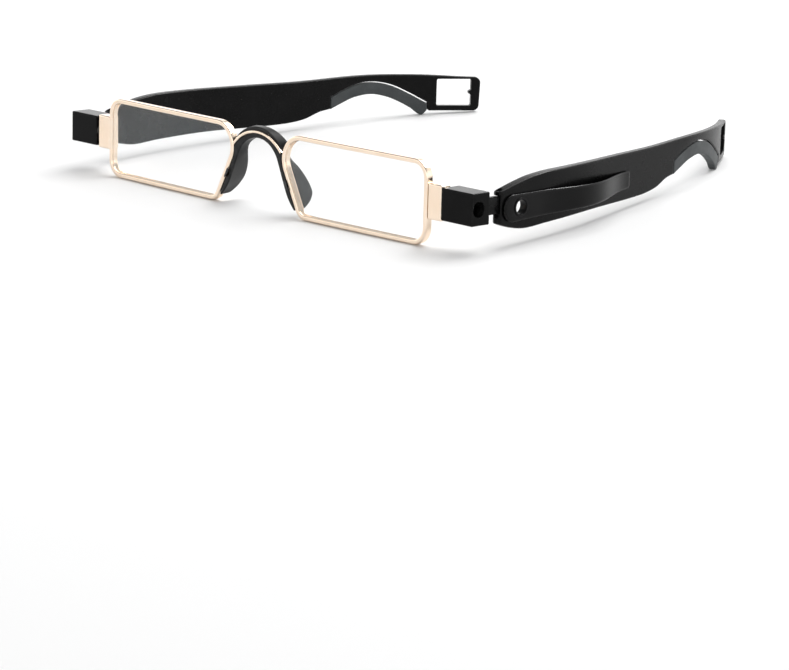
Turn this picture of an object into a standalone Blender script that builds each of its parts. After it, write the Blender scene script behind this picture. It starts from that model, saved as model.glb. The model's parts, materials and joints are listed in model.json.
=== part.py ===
"""Folding reading glasses with swivelling, folding temples.

Two narrow metal rims are joined by a wire bridge that carries a one-piece nose saddle.
Each temple hangs on a black block that turns a full circle about the left-right axis on
a shouldered screw, and it folds inwards on an upright pin behind that block.  The left
temple carries a pocket clip.  Left and right are the wearer's: left is +X, and the
lenses look towards -Y.

Everything is drawn in millimetres in the frame of the swivel axes: X to the wearer's
left, Y towards the wearer, Z up, with Z = 0 on the swivel axes.  The parent empty
"glasses" then leans the whole object so that it stands on its rims and ear pads, and
puts the bottom centre of its box at the world origin.
"""

import math

import bmesh
import bpy
from mathutils import Matrix, Vector

MM = 0.001

# ---------------------------------------------------------------- driving dimensions, mm
# front
HALF_WIDTH = 70.0            # mid-plane to the outer face of a swivel block
RIM_TOP = 8.95               # rim outline above the swivel axis
RIM_BOTTOM = -10.46
RIM_NASAL = 9.2              # nasal side to the mid-plane, level with the swivel axis
RIM_NASAL_SLANT = 0.5        # how far it moves outwards for each mm down
RIM_NASAL_TOP_RADIUS = 6.0   # corner radii of the rim outline
RIM_NASAL_CORNER = 3.2
RIM_CORNER = 4.2
RIM_WIDTH = 1.1              # metal seen from the front
RIM_DEPTH = 1.9              # metal seen from above
RIM_FRONT = -0.9             # front face at the temporal end
GROOVE_DEPTH = 0.45          # lens groove inside the rim
GROOVE_WIDTH = 1.3
FRONT_SAG = 1.1              # the front curves forwards by this much at the nose
SAG_END = 60.0               # and is flat from here outwards
LENS_EDGE = 1.1              # lens thickness where it leaves the groove
LENS_DOME = 0.9              # height of the lens's base curve
FIT_GAP = 0.08               # lens to groove, and metal to metal where pieces are brazed

# bridge and nose saddle
BRIDGE_TOP = 8.25            # top edge of the wire on the mid-plane
BRIDGE_RADIUS = 11.3         # radius of the wire's top edge
BRIDGE_WIRE = 0.65           # wire, radially
BRIDGE_DEPTH = 1.3           # wire, front to back
BRIDGE_PROUD = 0.25          # wire in front of the rims
SADDLE_TOP = 9.2             # top of the saddle on the mid-plane
SADDLE_FRONT_RADIUS = 10.3   # its top edge, in front
SADDLE_REAR_RADIUS = 14.0    # and behind, where it rises over the rims' corners
SADDLE_ARCH_TOP = 6.5        # underside of the arch on the mid-plane
SADDLE_ARCH_RADIUS = 7.5
SADDLE_ARCH_END = 66.0       # degrees off the crown, where the legs start
SADDLE_LEG = ((9.2, -3.4), (10.7, -6.3), (12.8, -8.8))
SADDLE_FRONT = 0.15          # saddle behind the rims' front face
PAD_THICKNESS = 1.0
SADDLE_GAP = 0.2             # saddle to rim
# the saddle's depth and the outward flare of its rear edge, along half of it
PAD_REACH = ((0.0, 2.5), (0.2, 2.5), (0.3, 2.7), (0.41, 3.5), (0.52, 4.8), (0.64, 5.8),
             (0.76, 6.3), (0.86, 6.1), (0.95, 4.8), (1.0, 3.0))
PAD_FLARE = ((0.0, 0.0), (0.3, 0.0), (0.41, 0.2), (0.52, 0.75), (0.76, 1.3), (0.86, 1.3),
             (0.95, 0.7), (1.0, 0.2))
TAB_HEIGHT = 2.1             # small metal tab that holds a saddle leg
TAB_REACH = 0.4
TAB_THICKNESS = 0.3
TAB_CENTRE = -3.1            # height of the tab's middle

# end plates, swivel and fold hinge
PLATE_WIDTH = 4.3            # along X, outwards from the rim
PLATE_HEIGHT = 8.1
PLATE_FRONT = -0.9
PLATE_DEPTH = 2.9
BLOCK_WIDTH = 9.7            # along X
BLOCK_HEIGHT = 7.35
BLOCK_FRONT = -1.25
BLOCK_DEPTH = 5.45
SWIVEL_Y = 0.8               # swivel axis behind the zero of Y
WASHER_GAP = 0.32            # space between plate and block
SCREW_SHAFT = 1.4            # diameters of the swivel screw
SCREW_HEAD = 3.0
SCREW_HEAD_HEIGHT = 1.0
SCREW_SLOT = 0.45
SCREW_THREAD = 2.4           # shaft inside the plate
SPRING_HEIGHT = 0.8          # spring washer under the head
RECESS_GAP = 0.3             # screw head to the counterbore in the block's outer face
RECESS_FLOOR = 5.4           # counterbore floor from the block's inner face
TURN_GAP = 0.1               # radial clearance of what turns
LOCK_SCREW = 1.1             # rim closing screw, upright in the plate
LOCK_SCREW_HEAD = 1.5
LOCK_SCREW_LENGTH = 5.6
PIN_SETBACK = 3.2            # fold pin behind the temple's front end
PIN = 0.8
PIN_HEAD = 1.4
PIN_HEAD_HEIGHT = 0.45
PIN_LOW = -3.0               # ends of the pin
PIN_TOP = 2.85
TONGUE_THICKNESS = 1.2       # tongue on the block, in the temple's slot
TONGUE_HEIGHT = 4.0
TONGUE_GAP = 0.15

# temples: s runs along the outer face from the front end, z is the height
TEMPLE_INSET = 0.8           # outer face at the front end, inside the block's outer face
FOLD_GAP = 1.6               # block's rear face to the temple's front end, s = 0
TEMPLE_THICKNESS = 2.4
TIP_THICKNESS = 1.9
STRAIGHT = 14.0              # straight front stretch
TOE_ARC = 22.0               # stretch over which the temple turns in by TOE_IN
TOE_IN = 11.05
MIDDLE = 39.5
TAIL_ARC = 30.5              # stretch over which the tail turns in by TAIL_BEND
TAIL_BEND = 24.3
TEMPLE_LENGTH = 114.1
TAIL_CORNER = 1.6
END_BAR = 2.6                # behind the opening of the loop at the tip
LOOP_LENGTH = 9.3
LOOP_TOP = 5.6
LOOP_BOTTOM = -1.5
LOOP_CORNER = 0.4
LOOP_NUB = 0.7               # small nub on the end bar
LOOP_FOOT = -2.9             # underside of the loop
PAD_START = 71.0             # rubber ear pad
PAD_END = 99.6
PAD_GAP = 0.1
PAD_INSIDE = ((71.0, -1.3), (74.2, 0.0), (78.0, 1.35), (83.2, 2.0), (88.0, 1.1),
              (92.0, -0.5), (95.4, -2.3))
PAD_FOOT = ((97.1, -3.6), (98.1, -3.95), (99.0, -3.3))
PAD_OUTSIDE = ((71.0, 1.9), (74.0, 3.2), (78.5, 4.7), (83.5, 5.2), (89.0, 4.3),
               (94.0, 2.2), (99.6, -0.7))
TEMPLE_TOP = ((2.3, 2.95), (4.5, 3.6), (8.0, 4.55), (13.0, 5.6), (20.0, 6.2), (45.0, 6.45),
              (62.0, 6.5), (80.0, 7.05), (96.0, 6.8), (108.0, 6.25))
TEMPLE_BOTTOM = ((2.1, -4.2), (5.5, -5.3), (10.5, -6.05), (18.0, -5.55), (34.0, -4.75),
                 (56.0, -4.35), (63.0, -3.5), (67.5, -1.9), (70.9, -1.3))

# pocket clip on the left temple
EYELET_S = 8.4               # eyelet centre on the temple
EYELET_Z = -0.85
EYELET_BORE = 3.4
EYELET_WALL = 0.2
EYELET_FLANGE = 4.3
EYELET_FLANGE_HEIGHT = 0.12
EYELET_SEAT = 6.4            # counterbore in the temple's inner face
EYELET_SEAT_DEPTH = 1.3
CLIP_HEAD_S = 6.3            # centre of the clip's round front end
CLIP_HEAD_Z = -1.0
CLIP_RADIUS = 3.1
CLIP_THICKNESS = 0.7
CLIP_END = 49.8
CLIP_TAIL_TOP = 2.35
CLIP_TAIL_BOTTOM = -1.7
CLIP_TAIL_CORNER = 0.8
CLIP_BOW = 2.4               # how far the clip bows off the temple
CLIP_BOW_START = 14.5
CLIP_BOW_END = 48.4
CLIP_SEAT = 0.06             # clip to temple where it lies on it

SIDES = (("left", 1.0), ("right", -1.0))

FINISHES = {                 # colour, metallic, roughness
    "gold": ((0.86, 0.70, 0.52), 1.0, 0.22),
    "steel": ((0.62, 0.62, 0.64), 1.0, 0.3),
    "black": ((0.012, 0.012, 0.013), 0.0, 0.32),
    "soft_black": ((0.02, 0.021, 0.022), 0.0, 0.5),
    "grey_rubber": ((0.13, 0.14, 0.14), 0.0, 0.6),
    "nylon": ((0.75, 0.74, 0.7), 0.0, 0.5),
    "lens": ((0.95, 0.97, 0.97), 0.0, 0.03),
}


# ------------------------------------------------------------------------------- helpers
def clear_scene():
    for item in list(bpy.context.scene.objects):
        bpy.data.objects.remove(item, do_unlink=True)


def finish_material(name, finish):
    colour, metallic, roughness = FINISHES[finish]
    material = bpy.data.materials.new(name + "_" + finish)
    material.use_nodes = True
    shader = material.node_tree.nodes["Principled BSDF"]
    shader.inputs["Base Color"].default_value = (*colour, 1.0)
    shader.inputs["Metallic"].default_value = metallic
    shader.inputs["Roughness"].default_value = roughness
    if finish == "lens":
        shader.inputs["Alpha"].default_value = 0.3
    material.diffuse_color = (*colour, 1.0)
    return material


def place(name, mesh_data, parent):
    """A new object whose parent empty stands on its joint's axis."""
    item = bpy.data.objects.new(name, mesh_data)
    bpy.context.scene.collection.objects.link(item)
    item.parent = parent
    item.location = -axis_point(parent)
    return item


def axis_point(empty):
    """Where an empty stands in the drawing's frame, in metres."""
    point = Vector()
    while empty.parent is not None:
        point += empty.location
        empty = empty.parent
    return point


def mesh_from(name, verts, faces):
    mesh = bpy.data.meshes.new(name)
    mesh.from_pydata([Vector(v) * MM for v in verts], [], faces)
    shape = bmesh.new()
    shape.from_mesh(mesh)
    tidy(shape, mesh)
    return mesh


def tidy(shape, mesh):
    """Point the faces outwards, cut them into triangles and write the mesh."""
    bmesh.ops.recalc_face_normals(shape, faces=shape.faces[:])
    bmesh.ops.triangulate(shape, faces=[f for f in shape.faces if len(f.verts) > 3])
    if shape.calc_volume(signed=True) < 0:
        bmesh.ops.reverse_faces(shape, faces=shape.faces[:])
    shape.to_mesh(mesh)
    shape.free()
    mesh.shade_smooth()
    mesh.set_sharp_from_angle(angle=math.radians(35))


def piece(name, verts, faces, finish, parent):
    item = place(name, mesh_from(name, verts, faces), parent)
    item.data.materials.append(finish_material(name, finish))
    return item


def cutter(name, verts, faces, parent):
    item = place(name, mesh_from(name, verts, faces), parent)
    item.hide_render = True
    item.display_type = "WIRE"
    return item


def boolean(target, tool, operation="DIFFERENCE"):
    change = target.modifiers.new(tool.name, "BOOLEAN")
    change.object = tool
    change.operation = operation


def loft(rings, closed=False):
    """Skin a list of rings with the same number of points; open ends are capped."""
    size = len(rings[0])
    verts = [point for ring in rings for point in ring]
    spans = len(rings) if closed else len(rings) - 1
    faces = []
    for i in range(spans):
        here = i * size
        there = (i + 1) % len(rings) * size
        for j in range(size):
            k = (j + 1) % size
            faces.append((here + j, here + k, there + k, there + j))
    if not closed:
        faces.append(tuple(range(size)))
        faces.append(tuple(range((len(rings) - 1) * size, len(rings) * size)))
    return verts, faces


def box(x, y, z, chamfer=0.0):
    """A box between two corners, with chamfered edges along X when asked."""
    c = chamfer
    ring = [(y[0] + c, z[0]), (y[1] - c, z[0]), (y[1], z[0] + c), (y[1], z[1] - c),
            (y[1] - c, z[1]), (y[0] + c, z[1]), (y[0], z[1] - c), (y[0], z[0] + c)]
    if not c:
        ring = [(y[0], z[0]), (y[1], z[0]), (y[1], z[1]), (y[0], z[1])]
    return loft([[(u, v, w) for v, w in ring] for u in x])


def turned(profile, centre, axis, segments=24):
    """A body of revolution. profile is (along the axis, radius) from end to end."""
    rings = []
    for along, radius in profile:
        ring = []
        for i in range(segments):
            angle = 2 * math.pi * i / segments
            a = radius * math.cos(angle)
            b = radius * math.sin(angle)
            if axis == "X":
                ring.append((along, centre[0] + a, centre[1] + b))
            else:
                ring.append((centre[0] + a, centre[1] + b, along))
        rings.append(ring)
    return rings


def washer(profile, centre, axis, segments=24):
    """A ring: the profile is a closed section instead of an open one."""
    return loft(turned(profile, centre, axis, segments), closed=True)


def mirrored(shape, side):
    verts, faces = shape
    return [(side * x, y, z) for x, y, z in verts], faces


def filleted(corners, step=14.0):
    """A closed outline from corners (u, v, radius); arcs are cut every `step` degrees."""
    outline = []
    count = len(corners)
    for i, (u, v, radius) in enumerate(corners):
        here = Vector((u, v))
        before = (Vector(corners[i - 1][:2]) - here).normalized()
        after = (Vector(corners[(i + 1) % count][:2]) - here).normalized()
        half = before.angle(after) / 2
        turn = math.pi - 2 * half
        centre = here + (before + after).normalized() * (radius / math.sin(half))
        start = here + before * (radius / math.tan(half)) - centre
        steps = max(2, math.ceil(math.degrees(turn) / step))
        sign = 1.0 if before.x * after.y - before.y * after.x < 0 else -1.0
        for k in range(steps + 1):
            spin = Matrix.Rotation(sign * turn * k / steps, 2)
            outline.append(tuple(centre + spin @ start))
    return outline


def smooth(points, spacing):
    """A curve through the points, by cubic Hermite spans with averaged slopes."""
    pts = [Vector(p) for p in points]
    slopes = []
    for i in range(len(pts)):
        low = pts[max(i - 1, 0)]
        high = pts[min(i + 1, len(pts) - 1)]
        slopes.append((high - low) / (high - low).length)
    curve = [tuple(pts[0])]
    for a, b, ta, tb in zip(pts, pts[1:], slopes, slopes[1:]):
        span = (b - a).length
        steps = max(1, round(span / spacing))
        for k in range(1, steps + 1):
            t = k / steps
            h = (2 * t**3 - 3 * t**2 + 1) * a + (t**3 - 2 * t**2 + t) * span * ta
            h += (3 * t**2 - 2 * t**3) * b + (t**3 - t**2) * span * tb
            curve.append(tuple(h))
    return curve


def inset(outline, distance):
    """Move a closed outline inwards; it runs anticlockwise in its own plane."""
    result = []
    count = len(outline)
    for i in range(count):
        a = Vector(outline[i - 1])
        b = Vector(outline[i])
        c = Vector(outline[(i + 1) % count])
        first = (b - a).normalized()
        second = (c - b).normalized()
        normal = Vector((-first.y - second.y, first.x + second.x)).normalized()
        result.append(tuple(b + normal * distance / max(0.5, normal.dot((-first.y, first.x)))))
    return result


def front_sag(x):
    """How far the curved front stands forward of its flat ends at x."""
    reach = min(abs(x) / SAG_END, 1.0)
    return FRONT_SAG * (1.0 - reach * reach)


# ----------------------------------------------------- places that follow from the sizes
def block_inner():
    return HALF_WIDTH - BLOCK_WIDTH


def plate_outer():
    return block_inner() - WASHER_GAP


def plate_inner():
    return plate_outer() - PLATE_WIDTH


def rim_temporal():
    return plate_inner() - FIT_GAP


def temple_outer():
    """Outer face of a temple's straight front, from the mid-plane."""
    return HALF_WIDTH - TEMPLE_INSET


def path_start():
    """Where along Y a temple starts, s = 0."""
    return BLOCK_FRONT + BLOCK_DEPTH + FOLD_GAP


def pin_x():
    return temple_outer() - TEMPLE_THICKNESS / 2


def pin_y():
    return path_start() + PIN_SETBACK


def loop_start():
    return TEMPLE_LENGTH - END_BAR - LOOP_LENGTH


# --------------------------------------------------------------------------- rims, lenses
def rim_outline():
    """Outer outline of the left rim, (x, z), anticlockwise seen from the front."""
    corners = [
        (RIM_NASAL - RIM_NASAL_SLANT * RIM_TOP, RIM_TOP, RIM_NASAL_TOP_RADIUS),
        (RIM_NASAL - RIM_NASAL_SLANT * RIM_BOTTOM, RIM_BOTTOM, RIM_NASAL_CORNER),
        (rim_temporal(), RIM_BOTTOM, RIM_CORNER),
        (rim_temporal(), RIM_TOP, RIM_CORNER),
    ]
    return filleted(corners)


def rim_rings(section):
    """Sweep a section of (inwards, backwards) points round the rim outline."""
    offsets = {n: inset(rim_outline(), n) if n else rim_outline() for n, _ in section}
    rings = []
    for i in range(len(rim_outline())):
        ring = []
        for n, y in section:
            x, z = offsets[n][i]
            ring.append((x, y - front_sag(x), z))
        rings.append(ring)
    return rings


def rim_middle():
    return RIM_FRONT + RIM_DEPTH / 2


def make_rim(name, side, parent):
    front = RIM_FRONT
    back = RIM_FRONT + RIM_DEPTH
    middle = rim_middle()
    edge = 0.2
    half = GROOVE_WIDTH / 2
    section = [
        (edge, front), (RIM_WIDTH - edge, front), (RIM_WIDTH, front + edge),
        (RIM_WIDTH, middle - half), (RIM_WIDTH - GROOVE_DEPTH, middle),
        (RIM_WIDTH, middle + half), (RIM_WIDTH, back - edge), (RIM_WIDTH - edge, back),
        (edge, back), (0.0, back - edge), (0.0, front + edge),
    ]
    verts, faces = mirrored(loft(rim_rings(section), closed=True), side)
    return piece(name, verts, faces, "gold", parent)


def make_lens(name, side, parent):
    """A bevelled edge in the groove and two domed faces, drawn ring by ring."""
    middle = rim_middle()
    half = LENS_EDGE / 2
    root = RIM_WIDTH - GROOVE_DEPTH + FIT_GAP
    shoulder = RIM_WIDTH + FIT_GAP
    apex = inset(rim_outline(), root)
    edge = inset(rim_outline(), shoulder)
    count = len(edge)
    centre_x = sum(x for x, _ in edge) / count
    centre_z = sum(z for _, z in edge) / count
    shares = (1.0, 0.75, 0.45, 0.15)

    def face_ring(share, y):
        ring = []
        for x, z in edge:
            u = centre_x + (x - centre_x) * share
            w = centre_z + (z - centre_z) * share
            rise = LENS_DOME * (1.0 - share * share)
            ring.append((u, y - front_sag(u) - rise, w))
        return ring

    rings = [face_ring(share, middle - half) for share in reversed(shares)]
    rings.append([(x, middle - front_sag(x), z) for x, z in apex])
    rings += [face_ring(share, middle + half) for share in shares]
    verts, faces = mirrored(loft(rings), side)
    return piece(name, verts, faces, "lens", parent)


# ----------------------------------------------------------------- bridge and nose saddle
def arc_point(top, radius, angle):
    """Point (x, z) on an arch of the given radius, angle in radians off its crown."""
    return radius * math.sin(angle), top - radius + radius * math.cos(angle)


def distance_to(outline, point, heading):
    """How far a ray from the point runs along the heading before it meets the outline."""
    best = math.inf
    origin = Vector(point)
    for i in range(len(outline)):
        a = Vector(outline[i - 1])
        edge = Vector(outline[i]) - a
        cross = heading.x * edge.y - heading.y * edge.x
        if abs(cross) < 1e-12:
            continue
        reach = a - origin
        along = (reach.x * edge.y - reach.y * edge.x) / cross
        share = (reach.x * heading.y - reach.y * heading.x) / cross
        if along > 0 and 0 <= share <= 1:
            best = min(best, along)
    return best


def bridge_end_angle():
    """Where the wire's top edge meets the rims, off the crown."""
    outline = rim_outline()
    angle = 0.0
    inner = BRIDGE_RADIUS - BRIDGE_WIRE
    while angle < math.pi / 2:
        angle += 0.002
        reach = math.inf
        for radius in (BRIDGE_RADIUS, inner):
            x, z = arc_point(BRIDGE_TOP - BRIDGE_RADIUS + radius, radius, angle)
            heading = Vector((math.cos(angle), -math.sin(angle)))
            reach = min(reach, distance_to(outline, (x, z), heading))
        if reach < FIT_GAP:
            return angle
    return angle


def bridge_rings(grow, extra_angle):
    """Sections of the bridge wire from one end to the other, grown by a clearance."""
    end = bridge_end_angle() + extra_angle
    steps = 24
    front = RIM_FRONT - BRIDGE_PROUD - grow
    back = RIM_FRONT - BRIDGE_PROUD + BRIDGE_DEPTH + grow
    edge = 0.15
    outer = BRIDGE_RADIUS + grow
    inner = BRIDGE_RADIUS - BRIDGE_WIRE - grow
    section = [
        (outer, back), (outer, front + edge), (outer - edge, front),
        (inner + edge, front), (inner, front + edge), (inner, back),
    ]
    rings = []
    for i in range(steps + 1):
        angle = end * (2 * i / steps - 1)
        ring = []
        for radius, y in section:
            x, z = arc_point(BRIDGE_TOP - BRIDGE_RADIUS + radius, radius, angle)
            ring.append((x, y - front_sag(x), z))
        rings.append(ring)
    return rings


def make_bridge(parent):
    verts, faces = loft(bridge_rings(0.0, 0.0))
    return piece("bridge_wire", verts, faces, "gold", parent)


def saddle_edge():
    """Inner edge of the saddle's left half, crown to leg tip: (x, z) points."""
    crown = []
    steps = 8
    for i in range(steps + 1):
        angle = math.radians(SADDLE_ARCH_END * i / steps)
        crown.append(arc_point(SADDLE_ARCH_TOP, SADDLE_ARCH_RADIUS, angle))
    return crown[:-1] + smooth([crown[-1], *SADDLE_LEG], 1.1)


def read_profile(profile, share):
    """Value of a (share, value) profile, eased between its points."""
    for (a, low), (b, high) in zip(profile, profile[1:]):
        if share <= b:
            t = (share - a) / (b - a)
            return low + (high - low) * t
    return profile[-1][1]


def arc_width(point, heading, radius):
    """From the saddle's inner edge along the heading to an arc through its top."""
    origin = Vector(point) - Vector((0.0, SADDLE_TOP - radius))
    room = radius**2 - origin.length_squared
    if room < 0 or heading.y < math.cos(math.radians(SADDLE_ARCH_END)):
        return math.inf
    toward = origin.dot(heading)
    return -toward + math.sqrt(toward**2 + room)


def saddle_section(point, heading, along):
    """One section of the saddle. along is 0 at the crown and 1 at the leg's tip."""
    front = RIM_FRONT + SADDLE_FRONT
    rim = distance_to(rim_outline(), point, heading) - SADDLE_GAP
    width = min(rim, arc_width(point, heading, SADDLE_FRONT_RADIUS))
    rear_width = min(rim, arc_width(point, heading, SADDLE_REAR_RADIUS))
    reach = read_profile(PAD_REACH, along)
    flare = read_profile(PAD_FLARE, along)
    behind_rim = RIM_DEPTH + SADDLE_GAP - SADDLE_FRONT
    turn = min(behind_rim, reach - 0.4)
    thick = min(PAD_THICKNESS, rear_width)
    share = max(0.0, min(1.0, (reach - turn - 0.4) / 1.5))
    rear = rear_width + (flare + thick - rear_width) * share
    ring = []
    section = [
        (0.15, 0.0), (0.0, 0.15), (0.1 * flare, 0.35 * turn), (0.35 * flare, turn),
        (flare, reach - 0.2), (flare + 0.25 * (rear - flare), reach),
        (rear - 0.2 * (rear - flare), reach - 0.05), (rear, reach - 0.35),
        (max(rear_width, 0.35 * flare + thick), turn + 0.02), (rear_width, turn - 0.03),
        (width, 0.15), (width - 0.15, 0.0),
    ]
    for n, y in section:
        x = point[0] + heading.x * n
        z = point[1] + heading.y * n
        ring.append((x, front + y - front_sag(point[0]), z))
    return ring


def make_saddle(parent):
    edge = saddle_edge()
    whole = sum((Vector(b) - Vector(a)).length for a, b in zip(edge, edge[1:]))
    length = 0.0
    rings = []
    for i, point in enumerate(edge):
        ahead = Vector(edge[min(i + 1, len(edge) - 1)])
        behind = Vector(edge[i - 1]) if i else Vector((-edge[1][0], edge[1][1]))
        run = (ahead - behind).normalized()
        heading = Vector((-run.y, run.x))
        if i == 0:
            heading = Vector((0.0, 1.0))
        length += (Vector(point) - Vector(edge[max(i - 1, 0)])).length
        rings.append(saddle_section(point, heading, length / whole))
    other = [[(-x, y, z) for x, y, z in ring] for ring in rings[1:]]
    verts, faces = loft(other[::-1] + rings)
    saddle = piece("nose_saddle", verts, faces, "soft_black", parent)
    groove = cutter("cut_bridge_groove", *loft(bridge_rings(0.1, 0.25)), parent)
    boolean(saddle, groove)
    return saddle


def make_tab(name, side, parent):
    """A small tab on the rim's nasal side, in front of the saddle's leg."""
    outline = rim_outline()
    reach = []
    for z in (TAB_CENTRE - TAB_HEIGHT / 2, TAB_CENTRE + TAB_HEIGHT / 2):
        away = distance_to(outline, (0.0, z), Vector((1.0, 0.0)))
        reach.append((z, away - FIT_GAP))
    back = RIM_FRONT - 0.02
    front = back - TAB_THICKNESS
    (low, x_low), (high, x_high) = reach
    ring = [(x_low, low), (x_high, high), (x_high - TAB_REACH, high - 0.25),
            (x_low - TAB_REACH, low + 0.25)]
    rings = [[(x, y - front_sag(x), z) for x, z in ring] for y in (front, back)]
    verts, faces = mirrored(loft(rings), side)
    return piece(name, verts, faces, "gold", parent)


# ------------------------------------------------------------- end plate, block, swivel
def make_plate(name, side, parent):
    half = PLATE_HEIGHT / 2
    shape = box((plate_inner(), plate_outer()), (PLATE_FRONT, PLATE_FRONT + PLATE_DEPTH),
                (-half, half), 0.25)
    plate = piece(name, *mirrored(shape, side), "gold", parent)
    bore = SCREW_SHAFT / 2 + TURN_GAP / 2
    deep = plate_outer() - SCREW_THREAD - 0.2
    hole = turned([(deep, bore), (plate_outer() + 1, bore)], (SWIVEL_Y, 0.0), "X")
    boolean(plate, cutter("cut_thread_" + name, *mirrored(loft(hole), side), parent))
    x = lock_screw_x()
    y = lock_screw_y()
    grow = TURN_GAP / 2
    head = LOCK_SCREW_HEAD / 2 + grow
    shaft = LOCK_SCREW / 2 + grow
    seat = -half + 0.6
    hole = turned([(-half - 1, head), (seat, head), (seat, shaft),
                   (LOCK_SCREW_LENGTH - half + 0.2, shaft)], (x, y), "Z", 20)
    boolean(plate, cutter("cut_lock_" + name, *mirrored(loft(hole), side), parent))
    return plate


def lock_screw_x():
    return plate_inner() + LOCK_SCREW_HEAD / 2 + 0.25


def lock_screw_y():
    return PLATE_FRONT + PLATE_DEPTH / 2


def make_lock_screw(name, side, parent):
    """The upright screw that closes the rim round its lens."""
    low = -PLATE_HEIGHT / 2
    head = LOCK_SCREW_HEAD / 2
    shaft = LOCK_SCREW / 2
    rings = turned([(low + 0.05, head - 0.1), (low + 0.15, head), (low + 0.55, head),
                    (low + 0.55, shaft), (low + LOCK_SCREW_LENGTH - 0.2, shaft),
                    (low + LOCK_SCREW_LENGTH, shaft - 0.2)],
                   (lock_screw_x(), lock_screw_y()), "Z", 20)
    return piece(name, *mirrored(loft(rings), side), "gold", parent)


def recess_floor():
    return block_inner() + RECESS_FLOOR


def make_swivel_screw(name, side, parent):
    """Shouldered screw: threaded in the plate, its head in the block's recess."""
    shaft = SCREW_SHAFT / 2
    head = SCREW_HEAD / 2
    under = recess_floor() + SPRING_HEIGHT + 0.1
    top = under + SCREW_HEAD_HEIGHT
    start = plate_outer() - SCREW_THREAD
    rings = turned([(start, shaft - 0.2), (start + 0.2, shaft), (under, shaft),
                    (under, head), (top - 0.15, head), (top, head - 0.15)],
                   (SWIVEL_Y, 0.0), "X")
    screw = piece(name, *mirrored(loft(rings), side), "steel", parent)
    half = SCREW_SLOT / 2
    slot = box((top - 0.45, top + 1), (SWIVEL_Y - half, SWIVEL_Y + half), (-head - 1, head + 1))
    boolean(screw, cutter("cut_slot_" + name, *mirrored(slot, side), parent))
    return screw


def make_spring_washer(name, side, parent):
    """A coned spring washer between the recess floor and the screw's head."""
    low = recess_floor() + 0.05
    rise = SPRING_HEIGHT - 0.3
    inner = SCREW_SHAFT / 2 + TURN_GAP
    outer = SCREW_HEAD / 2
    section = [(low, outer), (low + 0.3, outer), (low + rise + 0.3, inner),
               (low + rise, inner)]
    shape = washer(section, (SWIVEL_Y, 0.0), "X")
    return piece(name, *mirrored(shape, side), "steel", parent)


def make_friction_washer(name, side, parent):
    """The thin washer between plate and block that gives the swivel its drag."""
    low = plate_outer() + 0.05
    high = block_inner() - 0.05
    inner = SCREW_SHAFT / 2 + TURN_GAP
    outer = 1.8
    section = [(low, outer), (high, outer), (high, inner), (low, inner)]
    shape = washer(section, (SWIVEL_Y, 0.0), "X")
    return piece(name, *mirrored(shape, side), "nylon", parent)


def make_block(name, side, parent):
    half = BLOCK_HEIGHT / 2
    rear = BLOCK_FRONT + BLOCK_DEPTH
    shape = box((block_inner(), HALF_WIDTH), (BLOCK_FRONT, rear), (-half, half), 0.3)
    block = piece(name, *mirrored(shape, side), "black", parent)
    # the hinge tongue, with a round end about the pin
    round_end = TONGUE_THICKNESS / 2
    outline = [(pin_x() - round_end, rear - 1.0), (pin_x() + round_end, rear - 1.0)]
    for i in range(13):
        angle = math.pi * i / 12
        outline.append((pin_x() + round_end * math.cos(angle),
                        pin_y() + round_end * math.sin(angle)))
    tongue_half = TONGUE_HEIGHT / 2
    rings = [[(x, y, z) for x, y in outline] for z in (-tongue_half, tongue_half)]
    tongue = cutter("add_tongue_" + name, *mirrored(loft(rings), side), parent)
    boolean(block, tongue, "UNION")
    bore = SCREW_SHAFT / 2 + TURN_GAP
    wide = SCREW_HEAD / 2 + RECESS_GAP
    floor = recess_floor()
    hole = turned([(block_inner() - 1, bore), (floor, bore), (floor, wide),
                   (HALF_WIDTH + 1, wide)], (SWIVEL_Y, 0.0), "X")
    boolean(block, cutter("cut_bore_" + name, *mirrored(loft(hole), side), parent))
    radius = PIN / 2 + TURN_GAP / 2
    hole = turned([(-half, radius), (half, radius)], (pin_x(), pin_y()), "Z", 20)
    boolean(block, cutter("cut_pin_" + name, *mirrored(loft(hole), side), parent))
    return block


def make_hinge_pin(name, side, parent):
    shaft = PIN / 2
    head = PIN_HEAD / 2
    under = PIN_TOP - PIN_HEAD_HEIGHT
    rings = turned([(PIN_LOW, shaft - 0.1), (PIN_LOW + 0.1, shaft), (under, shaft),
                    (under, head), (PIN_TOP - 0.1, head), (PIN_TOP, head - 0.1)],
                   (pin_x(), pin_y()), "Z", 20)
    return piece(name, *mirrored(loft(rings), side), "steel", parent)


# --------------------------------------------------------------------------- temples
def temple_angle(s):
    """How far the temple has turned inwards at s, in radians."""
    toe = min(max((s - STRAIGHT) / TOE_ARC, 0.0), 1.0)
    tail = min(max((s - STRAIGHT - TOE_ARC - MIDDLE) / TAIL_ARC, 0.0), 1.0)
    return math.radians(TOE_IN * toe + TAIL_BEND * tail)


def temple_frame(s):
    """A point of the temple's outer face in plan, and the outward direction there."""
    x = temple_outer()
    y = path_start()
    steps = max(1, math.ceil(s / 0.5))
    for k in range(steps):
        angle = temple_angle((k + 0.5) / steps * s)
        x -= math.sin(angle) * s / steps
        y += math.cos(angle) * s / steps
    angle = temple_angle(s)
    return (x, y), (math.cos(angle), math.sin(angle))


def temple_thickness(s):
    share = min(max((s - STRAIGHT) / (PAD_START - STRAIGHT), 0.0), 1.0)
    return TEMPLE_THICKNESS + (TIP_THICKNESS - TEMPLE_THICKNESS) * share


def front_round(s):
    """How far both faces are in from the full thickness at the temple's round front."""
    radius = TEMPLE_THICKNESS / 2
    ahead = max(PIN_SETBACK - s, 0.0)
    return radius - math.sqrt(max(radius**2 - ahead**2, 0.0))


def temple_outside(s):
    return -front_round(s)


def temple_inside(s):
    return front_round(s) - temple_thickness(s)


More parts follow.
